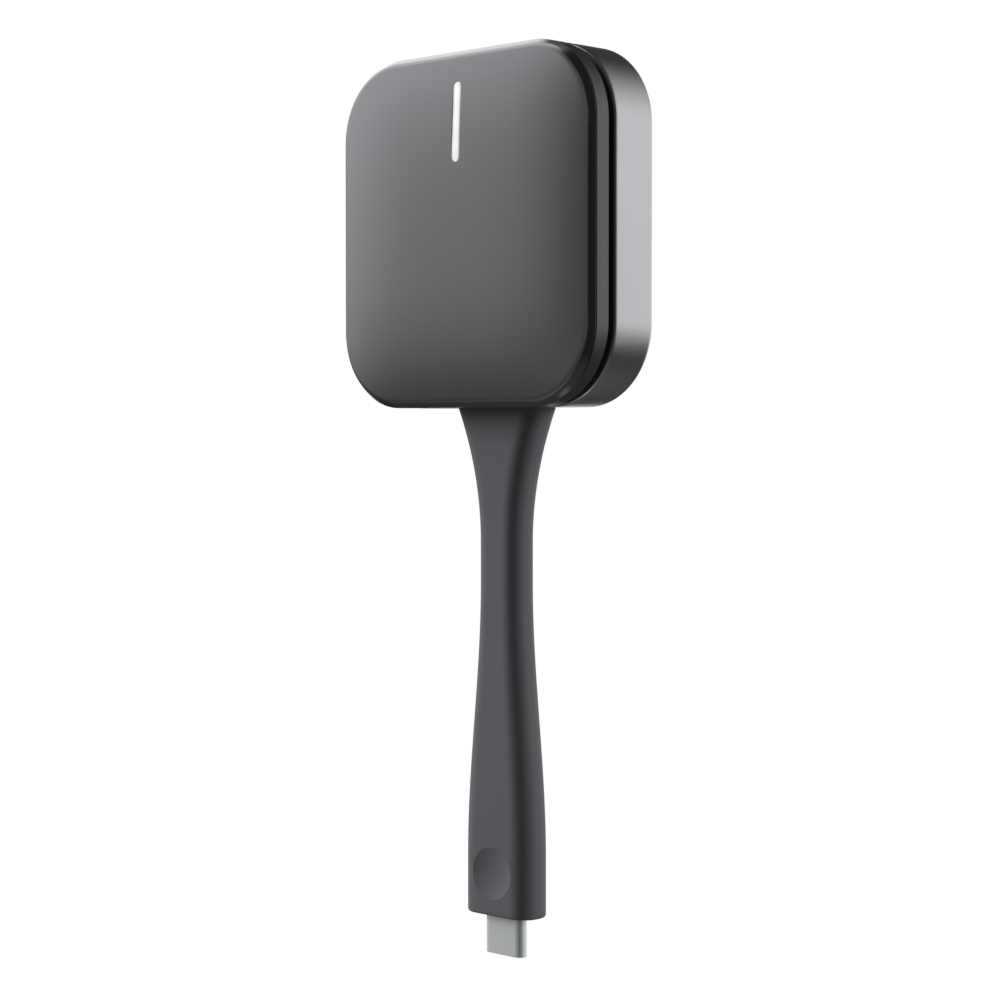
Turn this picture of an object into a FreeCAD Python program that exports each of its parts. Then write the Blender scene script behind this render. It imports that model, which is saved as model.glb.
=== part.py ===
import FreeCAD, Part
import math
import os
import Sketcher

# Wireless display adapter on a short moulded tail.
# The origin is at the plug's shoulder, on the tail's axis. Z runs up to the case and -Y is the front.
# Depths are counted forward from the tail's mid-plane, so a depth of 4 lies at Y = -4.

doc = FreeCAD.newDocument("display_adapter")

# Driving sizes, in millimetres
SIZES = {
    "case_size": 57, "case_corner": 13, "back_set": 3.9,
    "shell_depth": 8.8, "shell_wall": 1.5, "shell_back": 1.6,
    "shell_round": 1.0, "rim_bevel": 0.3,
    "groove_gap": 1.67, "band_depth": 2.85, "band_wall": 1.4, "band_bevel": 0.15,
    "cap_floor": 1.0, "button_travel": 0.5, "slide_clearance": 0.2,
    "glue_thick": 0.1, "glue_inset": 0.5,
    "panel_lip": 0.05, "panel_bevel": 0.88, "panel_crown": 1.3, "crown_margin": 0.1,
    "light_length": 12.7, "light_width": 1.75, "light_drop": 4.75,
    "light_flange": 1.0, "light_flange_depth": 0.9, "light_fit": 0.05,
    "shroud_wall": 0.6, "shroud_gap": 0.3,
    "frame_wall": 1.2, "frame_floor": 1.2, "frame_fit": 0.1,
    "spring_room": 3.1, "stop_clearance": 0.1,
    "post_inset": 9, "post_width": 4.6, "pilot_depth": 2.6,
    "screw_hole": 2.2, "screw_shank": 1.6, "screw_head": 3.6, "screw_head_depth": 1.1,
    "screw_bite": 2.0, "driver_width": 1.4, "driver_depth": 0.6,
    "hook_side": 10, "hook_inset": 6.5, "hook_width": 4, "hook_thick": 1.2,
    "hook_barb": 0.8, "hook_barb_depth": 0.8, "hook_clearance": 0.3,
    "dome_inset": 16.5, "dome_width": 5.6, "dome_top": 2.8, "dome_skin": 0.5, "dome_gap": 0.05,
    "board_gap": 2, "board_drop": 5.5, "board_corner": 6, "board_thick": 1.0,
    "switch_size": 6.2, "switch_corner": 0.5, "switch_depth": 1.9,
    "plunger_width": 3.4, "plunger_proud": 0.8, "plunger_deep": 1.0, "plunger_fit": 0.05,
    "pusher_width": 5, "pusher_gap": 0.05, "pusher_window": 7,
    "chip_size": 12, "chip_thick": 1.0, "chip_rise": 2.0, "pad_thick": 0.98,
    "spreader_width": 30, "spreader_height": 26, "spreader_corner": 3, "spreader_thick": 0.82,
    "memory_width": 8, "memory_height": 6, "memory_thick": 0.9, "memory_gap": 1.2,
    "shield_width": 10, "shield_height": 12, "shield_thick": 1.5, "shield_skin": 0.2,
    "radio_width": 6, "radio_height": 7, "radio_thick": 0.9,
    "coil_size": 4, "coil_thick": 1.6, "coil_pitch": 4.8, "part_gap": 0.4,
    "crystal_width": 3.2, "crystal_height": 2.5, "crystal_thick": 0.7, "crystal_gap": 1.1,
    "led_width": 1.6, "led_height": 0.8, "led_thick": 0.6, "led_pitch": 4.2,
    "antenna_length": 24, "antenna_depth": 2.2, "antenna_thick": 0.2, "antenna_rise": 2,
    "socket_width": 13, "socket_height": 3.4, "socket_thick": 3.2, "socket_fit": 0.15,
    "header_width": 11.4, "header_height": 4, "header_thick": 2.6,
    "neck_length": 82.9, "grip_height": 10, "taper_end": 54, "flare_start": 61,
    "grip_width": 14.7, "grip_thick": 7.1, "waist_width": 9.15, "waist_thick": 6,
    "root_width": 19.1, "root_thick": 7, "neck_flat": 0.7, "grip_round": 0.8,
    "thumb_width": 8.6, "thumb_depth": 0.6, "thumb_height": 7,
    "spigot_width": 13, "spigot_clearance": 0.1, "collar_width": 18, "collar_height": 1.8,
    "fork_width": 22, "fork_height": 1.0, "fork_bridge": 0.55, "fork_clearance": 0.05,
    "fork_gap": 0.15,
    "cable_width": 3, "cable_fit": 0.05, "cable_rise": 5.6,
    "plug_reach": 6.65, "plug_width": 8.25, "plug_thick": 2.4, "plug_wall": 0.22,
    "plug_tail": 5, "insert_setback": 0.15, "insert_fit": 0.02,
    "mouth_width": 6.7, "mouth_gap": 0.9, "mouth_depth": 5.2,
    "contact_count": 12, "contact_pitch": 0.5, "contact_width": 0.24, "contact_thick": 0.1,
    "contact_setback": 0.9, "contact_length": 3.8,
    "latch_length": 2.6, "latch_width": 0.3, "latch_thick": 0.5, "latch_setback": 1.2,
    "grip_skin": 1.25, "mould_corner": 1.2, "mould_start": 1.2,
    "mould_wall": 1.2, "mould_face": 0.6, "mould_fit": 0.05, "mould_roof": 3.5,
    "plug_board_width": 8, "plug_board_length": 8, "plug_board_thick": 0.7,
    "plug_chip_size": 3, "plug_chip_thick": 0.8, "crimp_wall": 0.35,
}

sheet = doc.addObject("Spreadsheet::Sheet", "Sizes")
for row, (alias, value) in enumerate(SIZES.items(), start=1):
    sheet.set(f"A{row}", alias.replace("_", " "))
    sheet.set(f"B{row}", str(value))
    sheet.setAlias(f"B{row}", alias)
doc.recompute()


# Rules are written with bare size names. This turns one into an expression on the sheet.
def rule(text):
    words = text.replace("(", " ( ").replace(")", " ) ").split()
    return " ".join(f"Sizes.{word}" if word in SIZES else word for word in words)


def value_of(text):
    return float(sheet.evalExpression(rule(text).replace("Sizes.", "")))


def bind(thing, prop, text):
    thing.setExpression(prop, rule(text))


# Places and sizes that several pieces share, as rules on the sizes
CENTRE = "neck_length + case_size / 2"
HALF = "case_size / 2"
POST = "( case_size / 2 - post_inset )"
DOME = "( case_size / 2 - dome_inset )"
HOOK = "( case_size / 2 - hook_inset )"
LIGHT_RISE = "( case_size / 2 - light_drop - light_length / 2 )"
BACK = "0 - back_set"
SHELL_FRONT = "shell_depth - back_set"
BACK_INSIDE = "shell_back - back_set"
BAND_BACK = f"{SHELL_FRONT} + groove_gap"
BAND_FRONT = f"{BAND_BACK} + band_depth"
CAP_INSIDE = f"{BAND_FRONT} - cap_floor"
FLOOR_FRONT = f"{CAP_INSIDE} - spring_room"
FLOOR_BACK = f"{FLOOR_FRONT} - frame_floor"
FRAME_INSET = "band_wall + slide_clearance"
BOARD_BACK = f"{BACK_INSIDE} + spreader_thick + pad_thick + chip_thick"
BOARD_FRONT = f"{BOARD_BACK} + board_thick"
BOARD_WIDTH = "case_size - 2 * ( shell_wall + board_gap )"
BOARD_HEIGHT = f"{BOARD_WIDTH} + board_gap - board_drop"
BOARD_RISE = "( board_drop - board_gap ) / 2"
PANEL_BACK = f"{BAND_FRONT} + glue_thick"
PANEL_RIM = f"{PANEL_BACK} + panel_lip + panel_bevel"
CROWN_FRONT = f"{PANEL_RIM} + panel_crown"
SWITCH_FRONT = f"{BOARD_FRONT} + switch_depth"
PLUNGER_FRONT = f"{SWITCH_FRONT} + plunger_proud"
SHELL_FLOOR = "neck_length + shell_wall"
COLLAR_START = f"{SHELL_FLOOR} + fork_height + fork_clearance"
COLLAR_THICK = "2 * ( back_set - shell_back - spigot_clearance )"
FORK_FRONT = f"( {COLLAR_THICK} ) / 2 + fork_bridge"
FRAME_BACK = f"{FORK_FRONT} + fork_gap"
SPIGOT_THICK = "2 * ( back_set - shell_back - 2 * spigot_clearance )"
CABLE_END = f"{SHELL_FLOOR} + cable_rise"
SOCKET_TOP = f"{CABLE_END} + header_height + socket_height"
CABLE_START = "plug_tail + plug_board_length"
MOULD_TOP = f"{CABLE_START} + mould_roof"
MOULD_WIDTH = "grip_width - 2 * grip_skin"
MOULD_THICK = "grip_thick - 2 * grip_skin"


def minus(text):
    return f"0 - ( {text} )"


def new_body(name, lift=None):
    body = doc.addObject("PartDesign::Body", name)
    body.Label = name
    if lift:
        bind(body, "Placement.Base.z", lift)
    return body


def origin_part(body, role):
    return [item for item in body.Origin.OriginFeatures if item.Role == role][0]


# A sketch on the XZ plane faces forward and its third offset is a depth.
# On the XY plane it faces up and its third offset is a height.
def new_sketch(body, name, plane, out, right="0", up="0"):
    sketch = body.newObject("Sketcher::SketchObject", name)
    sketch.AttachmentSupport = [(origin_part(body, plane), "")]
    sketch.MapMode = "FlatFace"
    bind(sketch, "AttachmentOffset.Base.x", right)
    bind(sketch, "AttachmentOffset.Base.y", up)
    bind(sketch, "AttachmentOffset.Base.z", out)
    return sketch


def set_size(sketch, name, text, *constraint):
    index = sketch.addConstraint(Sketcher.Constraint(*constraint, value_of(text)))
    sketch.renameConstraint(index, name)
    bind(sketch, f"Constraints.{name}", text)


def point(x, y):
    return FreeCAD.Vector(x, y, 0)


# An arc between two quarter turns, counted anticlockwise from the right
def arc(x, y, radius, start, end):
    circle = Part.Circle(point(x, y), FreeCAD.Vector(0, 0, 1), radius)
    return Part.ArcOfCircle(circle, start * math.pi / 2, end * math.pi / 2)


# A rectangle with rounded corners, centred on the sketch's origin
def rounded_box(sketch, width, height, corner):
    half_w = value_of(width) / 2
    half_h = value_of(height) / 2
    radius = value_of(corner)
    flat_w = half_w - radius
    flat_h = half_h - radius
    sketch.addGeometry([
        Part.LineSegment(point(-flat_w, -half_h), point(flat_w, -half_h)),
        arc(flat_w, -flat_h, radius, -1, 0),
        Part.LineSegment(point(half_w, -flat_h), point(half_w, flat_h)),
        arc(flat_w, flat_h, radius, 0, 1),
        Part.LineSegment(point(flat_w, half_h), point(-flat_w, half_h)),
        arc(-flat_w, flat_h, radius, 1, 2),
        Part.LineSegment(point(-half_w, flat_h), point(-half_w, -flat_h)),
        arc(-flat_w, -flat_h, radius, 2, 3),
    ], False)
    for edge in range(8):
        sketch.addConstraint(Sketcher.Constraint("Tangent", edge, 2, (edge + 1) % 8, 1))
    for edge in (0, 4):
        sketch.addConstraint(Sketcher.Constraint("Horizontal", edge))
    for edge in (2, 6):
        sketch.addConstraint(Sketcher.Constraint("Vertical", edge))
    for edge in (3, 5):
        sketch.addConstraint(Sketcher.Constraint("Equal", 1, edge))
    sketch.addConstraint(Sketcher.Constraint("Symmetric", 1, 3, 5, 3, -1, 1))
    set_size(sketch, "corner", corner, "Radius", 1)
    set_size(sketch, "width", width, "DistanceX", 6, 1, 2, 1)
    set_size(sketch, "height", height, "DistanceY", 0, 1, 4, 1)


# A plain rectangle, centred on the sketch's origin
def plain_box(sketch, width, height):
    half_w = value_of(width) / 2
    half_h = value_of(height) / 2
    corners = [point(-half_w, -half_h), point(half_w, -half_h), point(half_w, half_h),
               point(-half_w, half_h)]
    sketch.addGeometry([Part.LineSegment(corners[i], corners[(i + 1) % 4]) for i in range(4)], False)
    for edge in range(4):
        sketch.addConstraint(Sketcher.Constraint("Coincident", edge, 2, (edge + 1) % 4, 1))
        sketch.addConstraint(Sketcher.Constraint("Vertical" if edge % 2 else "Horizontal", edge))
    sketch.addConstraint(Sketcher.Constraint("Symmetric", 0, 1, 2, 1, -1, 1))
    set_size(sketch, "width", width, "DistanceX", 0, 1, 0, 2)
    set_size(sketch, "height", height, "DistanceY", 1, 1, 1, 2)


# A slot with round ends, centred on the sketch's origin
def slot(sketch, length, thick, upright=False):
    radius = value_of(thick) / 2
    reach = value_of(length) / 2 - radius
    if upright:
        shapes = [Part.LineSegment(point(radius, -reach), point(radius, reach)),
                  arc(0, reach, radius, 0, 2),
                  Part.LineSegment(point(-radius, reach), point(-radius, -reach)),
                  arc(0, -reach, radius, 2, 4)]
    else:
        shapes = [Part.LineSegment(point(-reach, -radius), point(reach, -radius)),
                  arc(reach, 0, radius, -1, 1),
                  Part.LineSegment(point(reach, radius), point(-reach, radius)),
                  arc(-reach, 0, radius, 1, 3)]
    sketch.addGeometry(shapes, False)
    for edge in range(4):
        sketch.addConstraint(Sketcher.Constraint("Tangent", edge, 2, (edge + 1) % 4, 1))
    sketch.addConstraint(Sketcher.Constraint("Vertical" if upright else "Horizontal", 0))
    sketch.addConstraint(Sketcher.Constraint("Symmetric", 1, 3, 3, 3, -1, 1))
    set_size(sketch, "radius", f"( {thick} ) / 2", "Radius", 1)
    ends = ("DistanceY", 3, 3, 1, 3) if upright else ("DistanceX", 3, 3, 1, 3)
    set_size(sketch, "length", f"{length} - ( {thick} )", *ends)


def round_hole(sketch, width):
    sketch.addGeometry(Part.Circle(point(0, 0), FreeCAD.Vector(0, 0, 1), value_of(width) / 2), False)
    sketch.addConstraint(Sketcher.Constraint("Coincident", 0, 3, -1, 1))
    set_size(sketch, "width", width, "Diameter", 0)


def pad(body, sketch, length):
    feature = body.newObject("PartDesign::Pad", f"{sketch.Name}_pad")
    feature.Profile = sketch
    bind(feature, "Length", length)
    body.Tip = feature
    doc.recompute()
    return feature


# A pocket cuts back from its sketch, away from the side that the sketch faces
def pocket(body, sketch, length):
    feature = body.newObject("PartDesign::Pocket", f"{sketch.Name}_cut")
    feature.Profile = sketch
    bind(feature, "Length", length)
    body.Tip = feature
    doc.recompute()
    return feature


def four_corners(body, feature):
    pattern = body.newObject("PartDesign::PolarPattern", f"{feature.Name}_ring")
    pattern.Originals = [feature]
    pattern.Axis = (origin_part(body, "Y_Axis"), [""])
    pattern.Angle = 360
    pattern.Occurrences = 4
    body.Tip = pattern
    doc.recompute()
    return pattern


# The names of a feature's edges that lie wholly at one Y or one Z
def edges_at(feature, axis, place):
    named = []
    for index, edge in enumerate(feature.Shape.Edges, start=1):
        low = getattr(edge.BoundBox, f"{axis}Min")
        high = getattr(edge.BoundBox, f"{axis}Max")
        if abs(low - place) < 0.01 and abs(high - place) < 0.01:
            named.append(f"Edge{index}")
    return named


def dress(body, kind, name, feature, edges, prop, size):
    finish = body.newObject(f"PartDesign::{kind}", name)
    finish.Base = (feature, edges)
    bind(finish, prop, size)
    body.Tip = finish
    doc.recompute()
    return finish


# A box by its middle across and up, its back depth and its size, in the row's frame
def block(name, size, back, across="0", up="0", lift=CENTRE):
    box = doc.addObject("Part::Box", name)
    box.Label = name
    width, thick, height = size
    bind(box, "Length", width)
    bind(box, "Width", thick)
    bind(box, "Height", height)
    bind(box, "Placement.Base.x", f"{across} - ( {width} ) / 2")
    bind(box, "Placement.Base.y", minus(f"{back} + {thick}"))
    bind(box, "Placement.Base.z", f"{lift} + {up} - ( {height} ) / 2")
    return box


def group(name, members):
    gathered = doc.addObject("Part::Compound", name)
    gathered.Label = name
    gathered.Links = members
    return gathered


def cut(name, base, tool):
    result = doc.addObject("Part::Cut", name)
    result.Label = name
    result.Base = base
    result.Tool = tool
    return result


def make_rear_shell():
    body = new_body("rear_shell", CENTRE)
    outline = new_sketch(body, "shell_outline", "XZ_Plane", BACK)
    rounded_box(outline, "case_size", "case_size", "case_corner")
    solid = pad(body, outline, "shell_depth")
    rounded = dress(body, "Fillet", "back_rounding", solid, edges_at(solid, "Y", value_of("back_set")),
                    "Radius", "shell_round")
    rim = edges_at(rounded, "Y", value_of(minus(SHELL_FRONT)))
    dress(body, "Chamfer", "rim_bevelling", rounded, rim, "Size", "rim_bevel")
    inside = new_sketch(body, "shell_inside", "XZ_Plane", SHELL_FRONT)
    rounded_box(inside, "case_size - 2 * shell_wall", "case_size - 2 * shell_wall",
                "case_corner - shell_wall")
    pocket(body, inside, "shell_depth - shell_back")
    post = new_sketch(body, "screw_post", "XZ_Plane", BACK_INSIDE, POST, POST)
    round_hole(post, "post_width")
    four_corners(body, pad(body, post, f"{BOARD_BACK} - ( {BACK_INSIDE} )"))
    pilot = new_sketch(body, "pilot_hole", "XZ_Plane", BOARD_BACK, POST, POST)
    round_hole(pilot, "screw_shank")
    four_corners(body, pocket(body, pilot, "pilot_depth"))
    mouth = new_sketch(body, "neck_mouth", "XY_Plane", f"shell_wall * 2 - ( {HALF} )")
    slot(mouth, "spigot_width + 2 * spigot_clearance", COLLAR_THICK)
    pocket(body, mouth, "shell_wall * 3")
    return body


def make_inner_frame():
    body = new_body("inner_frame", CENTRE)
    front = f"{CAP_INSIDE} - button_travel - stop_clearance"
    for name, start, end, inset in (
            ("frame_skirt", FRAME_BACK, SHELL_FRONT, "shell_wall + frame_fit"),
            ("frame_collar", SHELL_FRONT, front, FRAME_INSET)):
        outline = new_sketch(body, name, "XZ_Plane", start)
        rounded_box(outline, f"case_size - 2 * ( {inset} )", f"case_size - 2 * ( {inset} )",
                    f"case_corner - ( {inset} )")
        pad(body, outline, f"{end} - ( {start} )")
    inner = f"case_size - 2 * ( {FRAME_INSET} + frame_wall )"
    corner = f"case_corner - ( {FRAME_INSET} ) - frame_wall"
    tray = new_sketch(body, "frame_tray", "XZ_Plane", front)
    rounded_box(tray, inner, inner, corner)
    pocket(body, tray, f"{front} - ( {FLOOR_FRONT} )")
    under = new_sketch(body, "frame_under", "XZ_Plane", FLOOR_BACK)
    rounded_box(under, inner, inner, corner)
    pocket(body, under, f"{FLOOR_BACK} - ( {FRAME_BACK} )")
    boss = new_sketch(body, "frame_boss", "XZ_Plane", BOARD_FRONT, POST, POST)
    round_hole(boss, "post_width")
    four_corners(body, pad(body, boss, f"{FLOOR_BACK} - ( {BOARD_FRONT} )"))
    hole = new_sketch(body, "frame_hole", "XZ_Plane", FLOOR_FRONT, POST, POST)
    round_hole(hole, "screw_hole")
    four_corners(body, pocket(body, hole, f"{FLOOR_FRONT} - ( {BOARD_FRONT} )"))
    window = new_sketch(body, "pusher_window", "XZ_Plane", FLOOR_FRONT)
    round_hole(window, "pusher_window")
    pocket(body, window, "frame_floor")
    light = new_sketch(body, "light_window", "XZ_Plane", FLOOR_FRONT, "0", LIGHT_RISE)
    shroud = "2 * ( light_flange + shroud_wall + light_fit )"
    rounded_box(light, f"light_width + {shroud}", f"light_length + {shroud}", "shroud_wall")
    pocket(body, light, "frame_floor")
    gate = new_sketch(body, "hook_gate", "XZ_Plane", FLOOR_FRONT, "hook_side",
                      f"{HOOK} + hook_barb / 2")
    plain_box(gate, "hook_width + 2 * hook_clearance", "hook_thick + hook_barb + 2 * hook_clearance")
    four_corners(body, pocket(body, gate, "frame_floor"))
    return body


def make_button_frame():
    body = new_body("button_frame", CENTRE)
    outline = new_sketch(body, "band_outline", "XZ_Plane", BAND_BACK)
    rounded_box(outline, "case_size", "case_size", "case_corner")
    solid = pad(body, outline, "band_depth")
    edges = edges_at(solid, "Y", value_of(minus(BAND_BACK)))
    edges += edges_at(solid, "Y", value_of(minus(BAND_FRONT)))
    dress(body, "Chamfer", "band_bevelling", solid, edges, "Size", "band_bevel")
    inside = new_sketch(body, "band_inside", "XZ_Plane", CAP_INSIDE)
    rounded_box(inside, "case_size - 2 * band_wall", "case_size - 2 * band_wall",
                "case_corner - band_wall")
    pocket(body, inside, "band_depth - cap_floor")
    light = new_sketch(body, "guide_slot", "XZ_Plane", BAND_FRONT, "0", LIGHT_RISE)
    slot(light, "light_length + 2 * light_fit", "light_width + 2 * light_fit", upright=True)
    pocket(body, light, "cap_floor")
    pusher_start = f"{PLUNGER_FRONT} + pusher_gap"
    pusher = new_sketch(body, "pusher", "XZ_Plane", pusher_start)
    round_hole(pusher, "pusher_width")
    pad(body, pusher, f"{CAP_INSIDE} - ( {pusher_start} )")
    barb_front = f"{FLOOR_BACK} - stop_clearance"
    barb_back = f"{barb_front} - hook_barb_depth"
    leg = new_sketch(body, "hook_leg", "XZ_Plane", barb_back, "hook_side", HOOK)
    plain_box(leg, "hook_width", "hook_thick")
    four_corners(body, pad(body, leg, f"{CAP_INSIDE} - ( {barb_back} )"))
    barb = new_sketch(body, "hook_barb", "XZ_Plane", barb_back, "hook_side",
                      f"{HOOK} + hook_barb / 2")
    plain_box(barb, "hook_width", "hook_thick + hook_barb")
    four_corners(body, pad(body, barb, "hook_barb_depth"))
    return body


# The crown is nearly flat in the middle and falls to a level rim, as one less the fourth power
# of the way out. A patch of degree four both ways is that form, with these heights at its poles.
def make_crown():
    reach = value_of(f"{HALF} + crown_margin")
    rim = value_of(PANEL_RIM)
    sag = value_of("panel_crown")
    pole_heights = (0, 2, 0, 2, 0)
    last = len(pole_heights) - 1
    patch = Part.BezierSurface()
    patch.increase(last, last)
    for column, across in enumerate(pole_heights):
        for row, up in enumerate(pole_heights):
            place = FreeCAD.Vector((2 * column / last - 1) * reach, -rim - sag * across * up,
                                   (2 * row / last - 1) * reach)
            patch.setPole(column + 1, row + 1, place)
    crown = doc.addObject("Part::Feature", "crown_form")
    crown.Shape = patch.toShape().extrude(FreeCAD.Vector(0, rim, 0))
    bind(crown, "Placement.Base.z", CENTRE)
    return crown


def make_front_panel(crown):
    blank = new_body("panel_blank", CENTRE)
    outline = new_sketch(blank, "panel_outline", "XZ_Plane", PANEL_BACK)
    rounded_box(outline, "case_size", "case_size", "case_corner")
    pad(blank, outline, f"{CROWN_FRONT} - ( {PANEL_BACK} ) + crown_margin")
    domed = doc.addObject("Part::Common", "panel_domed")
    domed.Base = blank
    domed.Tool = crown
    doc.recompute()
    bevelled = doc.addObject("Part::Chamfer", "panel_bevelled")
    bevelled.Base = domed
    level = -value_of(f"{PANEL_RIM} - panel_bevel / 2")
    size = value_of("panel_bevel")
    rim = [i for i, edge in enumerate(domed.Shape.Edges, start=1) if edge.BoundBox.YMax < level]
    bevelled.Edges = [(i, size, size) for i in rim]
    cutter = new_body("panel_slot_tool", CENTRE)
    opening = new_sketch(cutter, "panel_slot", "XZ_Plane", BAND_FRONT, "0", LIGHT_RISE)
    slot(opening, "light_length + 2 * light_fit", "light_width + 2 * light_fit", upright=True)
    pad(cutter, opening, f"{CROWN_FRONT} - ( {BAND_FRONT} ) + crown_margin")
    return cut("front_panel", bevelled, cutter)


def make_panel_adhesive():
    body = new_body("panel_adhesive", CENTRE)
    outline = new_sketch(body, "glue_outline", "XZ_Plane", BAND_FRONT)
    rounded_box(outline, "case_size - 2 * glue_inset", "case_size - 2 * glue_inset",
                "case_corner - glue_inset")
    pad(body, outline, "glue_thick")
    opening = new_sketch(body, "glue_slot", "XZ_Plane", PANEL_BACK, "0", LIGHT_RISE)
    rounded_box(opening, "light_width + 2 * light_flange", "light_length + 2 * light_flange",
                "light_flange")
    pocket(body, opening, "glue_thick")
    return body


def make_light_guide(crown):
    blank = new_body("guide_blank", CENTRE)
    flange = new_sketch(blank, "guide_flange", "XZ_Plane", f"{CAP_INSIDE} - light_flange_depth",
                        "0", LIGHT_RISE)
    rounded_box(flange, "light_width + 2 * light_flange", "light_length + 2 * light_flange",
                "light_flange")
    pad(blank, flange, "light_flange_depth")
    bar = new_sketch(blank, "guide_bar", "XZ_Plane", CAP_INSIDE, "0", LIGHT_RISE)
    slot(bar, "light_length", "light_width", upright=True)
    pad(blank, bar, f"{CROWN_FRONT} - ( {CAP_INSIDE} ) + crown_margin")
    guide = doc.addObject("Part::Common", "light_guide")
    guide.Label = "light_guide"
    guide.Base = blank
    guide.Tool = crown
    return guide


# A foam tunnel from the lamps on the board to just behind the pressed light guide
def make_light_shroud():
    body = new_body("light_shroud", CENTRE)
    start = new_sketch(body, "shroud_outline", "XZ_Plane", BOARD_FRONT, "0", LIGHT_RISE)
    outer = "2 * ( light_flange + shroud_wall )"
    rounded_box(start, f"light_width + {outer}", f"light_length + {outer}", "shroud_wall")
    depth = f"{CAP_INSIDE} - light_flange_depth - button_travel - shroud_gap - ( {BOARD_FRONT} )"
    pad(body, start, depth)
    hollow = new_sketch(body, "shroud_inside", "XZ_Plane", f"{BOARD_FRONT} + {depth}",
                        "0", LIGHT_RISE)
    plain_box(hollow, "light_width + 2 * light_flange", "light_length + 2 * light_flange")
    pocket(body, hollow, depth)
    return body


# Silicone domes push the button back out
def make_return_domes():
    body = new_body("return_domes", CENTRE)
    height = "spring_room - dome_gap"
    for name, shrink, rise in (("dome_outside", "0", height),
                               ("dome_inside", "2 * dome_skin", f"{height} - dome_skin")):
        base = new_sketch(body, f"{name}_base", "XZ_Plane", FLOOR_FRONT, DOME, DOME)
        round_hole(base, f"dome_width - {shrink}")
        tip = new_sketch(body, f"{name}_tip", "XZ_Plane", f"{FLOOR_FRONT} + {rise}",
                         DOME, DOME)
        round_hole(tip, f"dome_top - {shrink}")
        kind = "SubtractiveLoft" if name == "dome_inside" else "AdditiveLoft"
        cone = body.newObject(f"PartDesign::{kind}", name)
        cone.Profile = base
        cone.Sections = [tip]
        cone.Ruled = True
        body.Tip = cone
        doc.recompute()
        four_corners(body, cone)
    return body


def make_frame_screws():
    body = new_body("frame_screws", CENTRE)
    shank = new_sketch(body, "screw_shank", "XZ_Plane", f"{BOARD_BACK} - screw_bite",
                       POST, POST)
    round_hole(shank, "screw_shank")
    shank_pad = pad(body, shank, f"{FLOOR_FRONT} - ( {BOARD_BACK} ) + screw_bite")
    head = new_sketch(body, "screw_head", "XZ_Plane", FLOOR_FRONT, POST, POST)
    round_hole(head, "screw_head")
    head_pad = pad(body, head, "screw_head_depth")
    socket = new_sketch(body, "screw_driver", "XZ_Plane", f"{FLOOR_FRONT} + screw_head_depth",
                        POST, POST)
    plain_box(socket, "driver_width", "driver_width")
    socket_cut = pocket(body, socket, "driver_depth")
    pattern = four_corners(body, shank_pad)
    pattern.Originals = [shank_pad, head_pad, socket_cut]
    doc.recompute()
    return body


def make_main_board():
    body = new_body("main_board", CENTRE)
    outline = new_sketch(body, "board_outline", "XZ_Plane", BOARD_BACK, "0", BOARD_RISE)
    rounded_box(outline, BOARD_WIDTH, BOARD_HEIGHT, "board_corner")
    pad(body, outline, "board_thick")
    hole = new_sketch(body, "board_hole", "XZ_Plane", BOARD_FRONT, POST, POST)
    round_hole(hole, "screw_hole")
    four_corners(body, pocket(body, hole, "board_thick"))
    foot = f"{BOARD_RISE} - ( {BOARD_HEIGHT} ) / 2"
    notch_top = f"{SOCKET_TOP} + socket_fit - ( {CENTRE} )"
    notch = new_sketch(body, "board_notch", "XZ_Plane", BOARD_FRONT, "0", foot)
    plain_box(notch, "socket_width + 2 * socket_fit", f"2 * ( {notch_top} - ( {foot} ) )")
    pocket(body, notch, "board_thick")
    return body


def make_tact_switch():
    body = new_body("tact_switch", CENTRE)
    outline = new_sketch(body, "switch_outline", "XZ_Plane", BOARD_FRONT)
    rounded_box(outline, "switch_size", "switch_size", "switch_corner")
    pad(body, outline, "switch_depth")
    well = new_sketch(body, "switch_well", "XZ_Plane", SWITCH_FRONT)
    round_hole(well, "plunger_width + 2 * plunger_fit")
    pocket(body, well, "plunger_deep + button_travel + stop_clearance")
    return body


def make_switch_plunger():
    body = new_body("switch_plunger", CENTRE)
    stem = new_sketch(body, "plunger_stem", "XZ_Plane", f"{SWITCH_FRONT} - plunger_deep")
    round_hole(stem, "plunger_width")
    pad(body, stem, "plunger_deep + plunger_proud")
    return body


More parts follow.
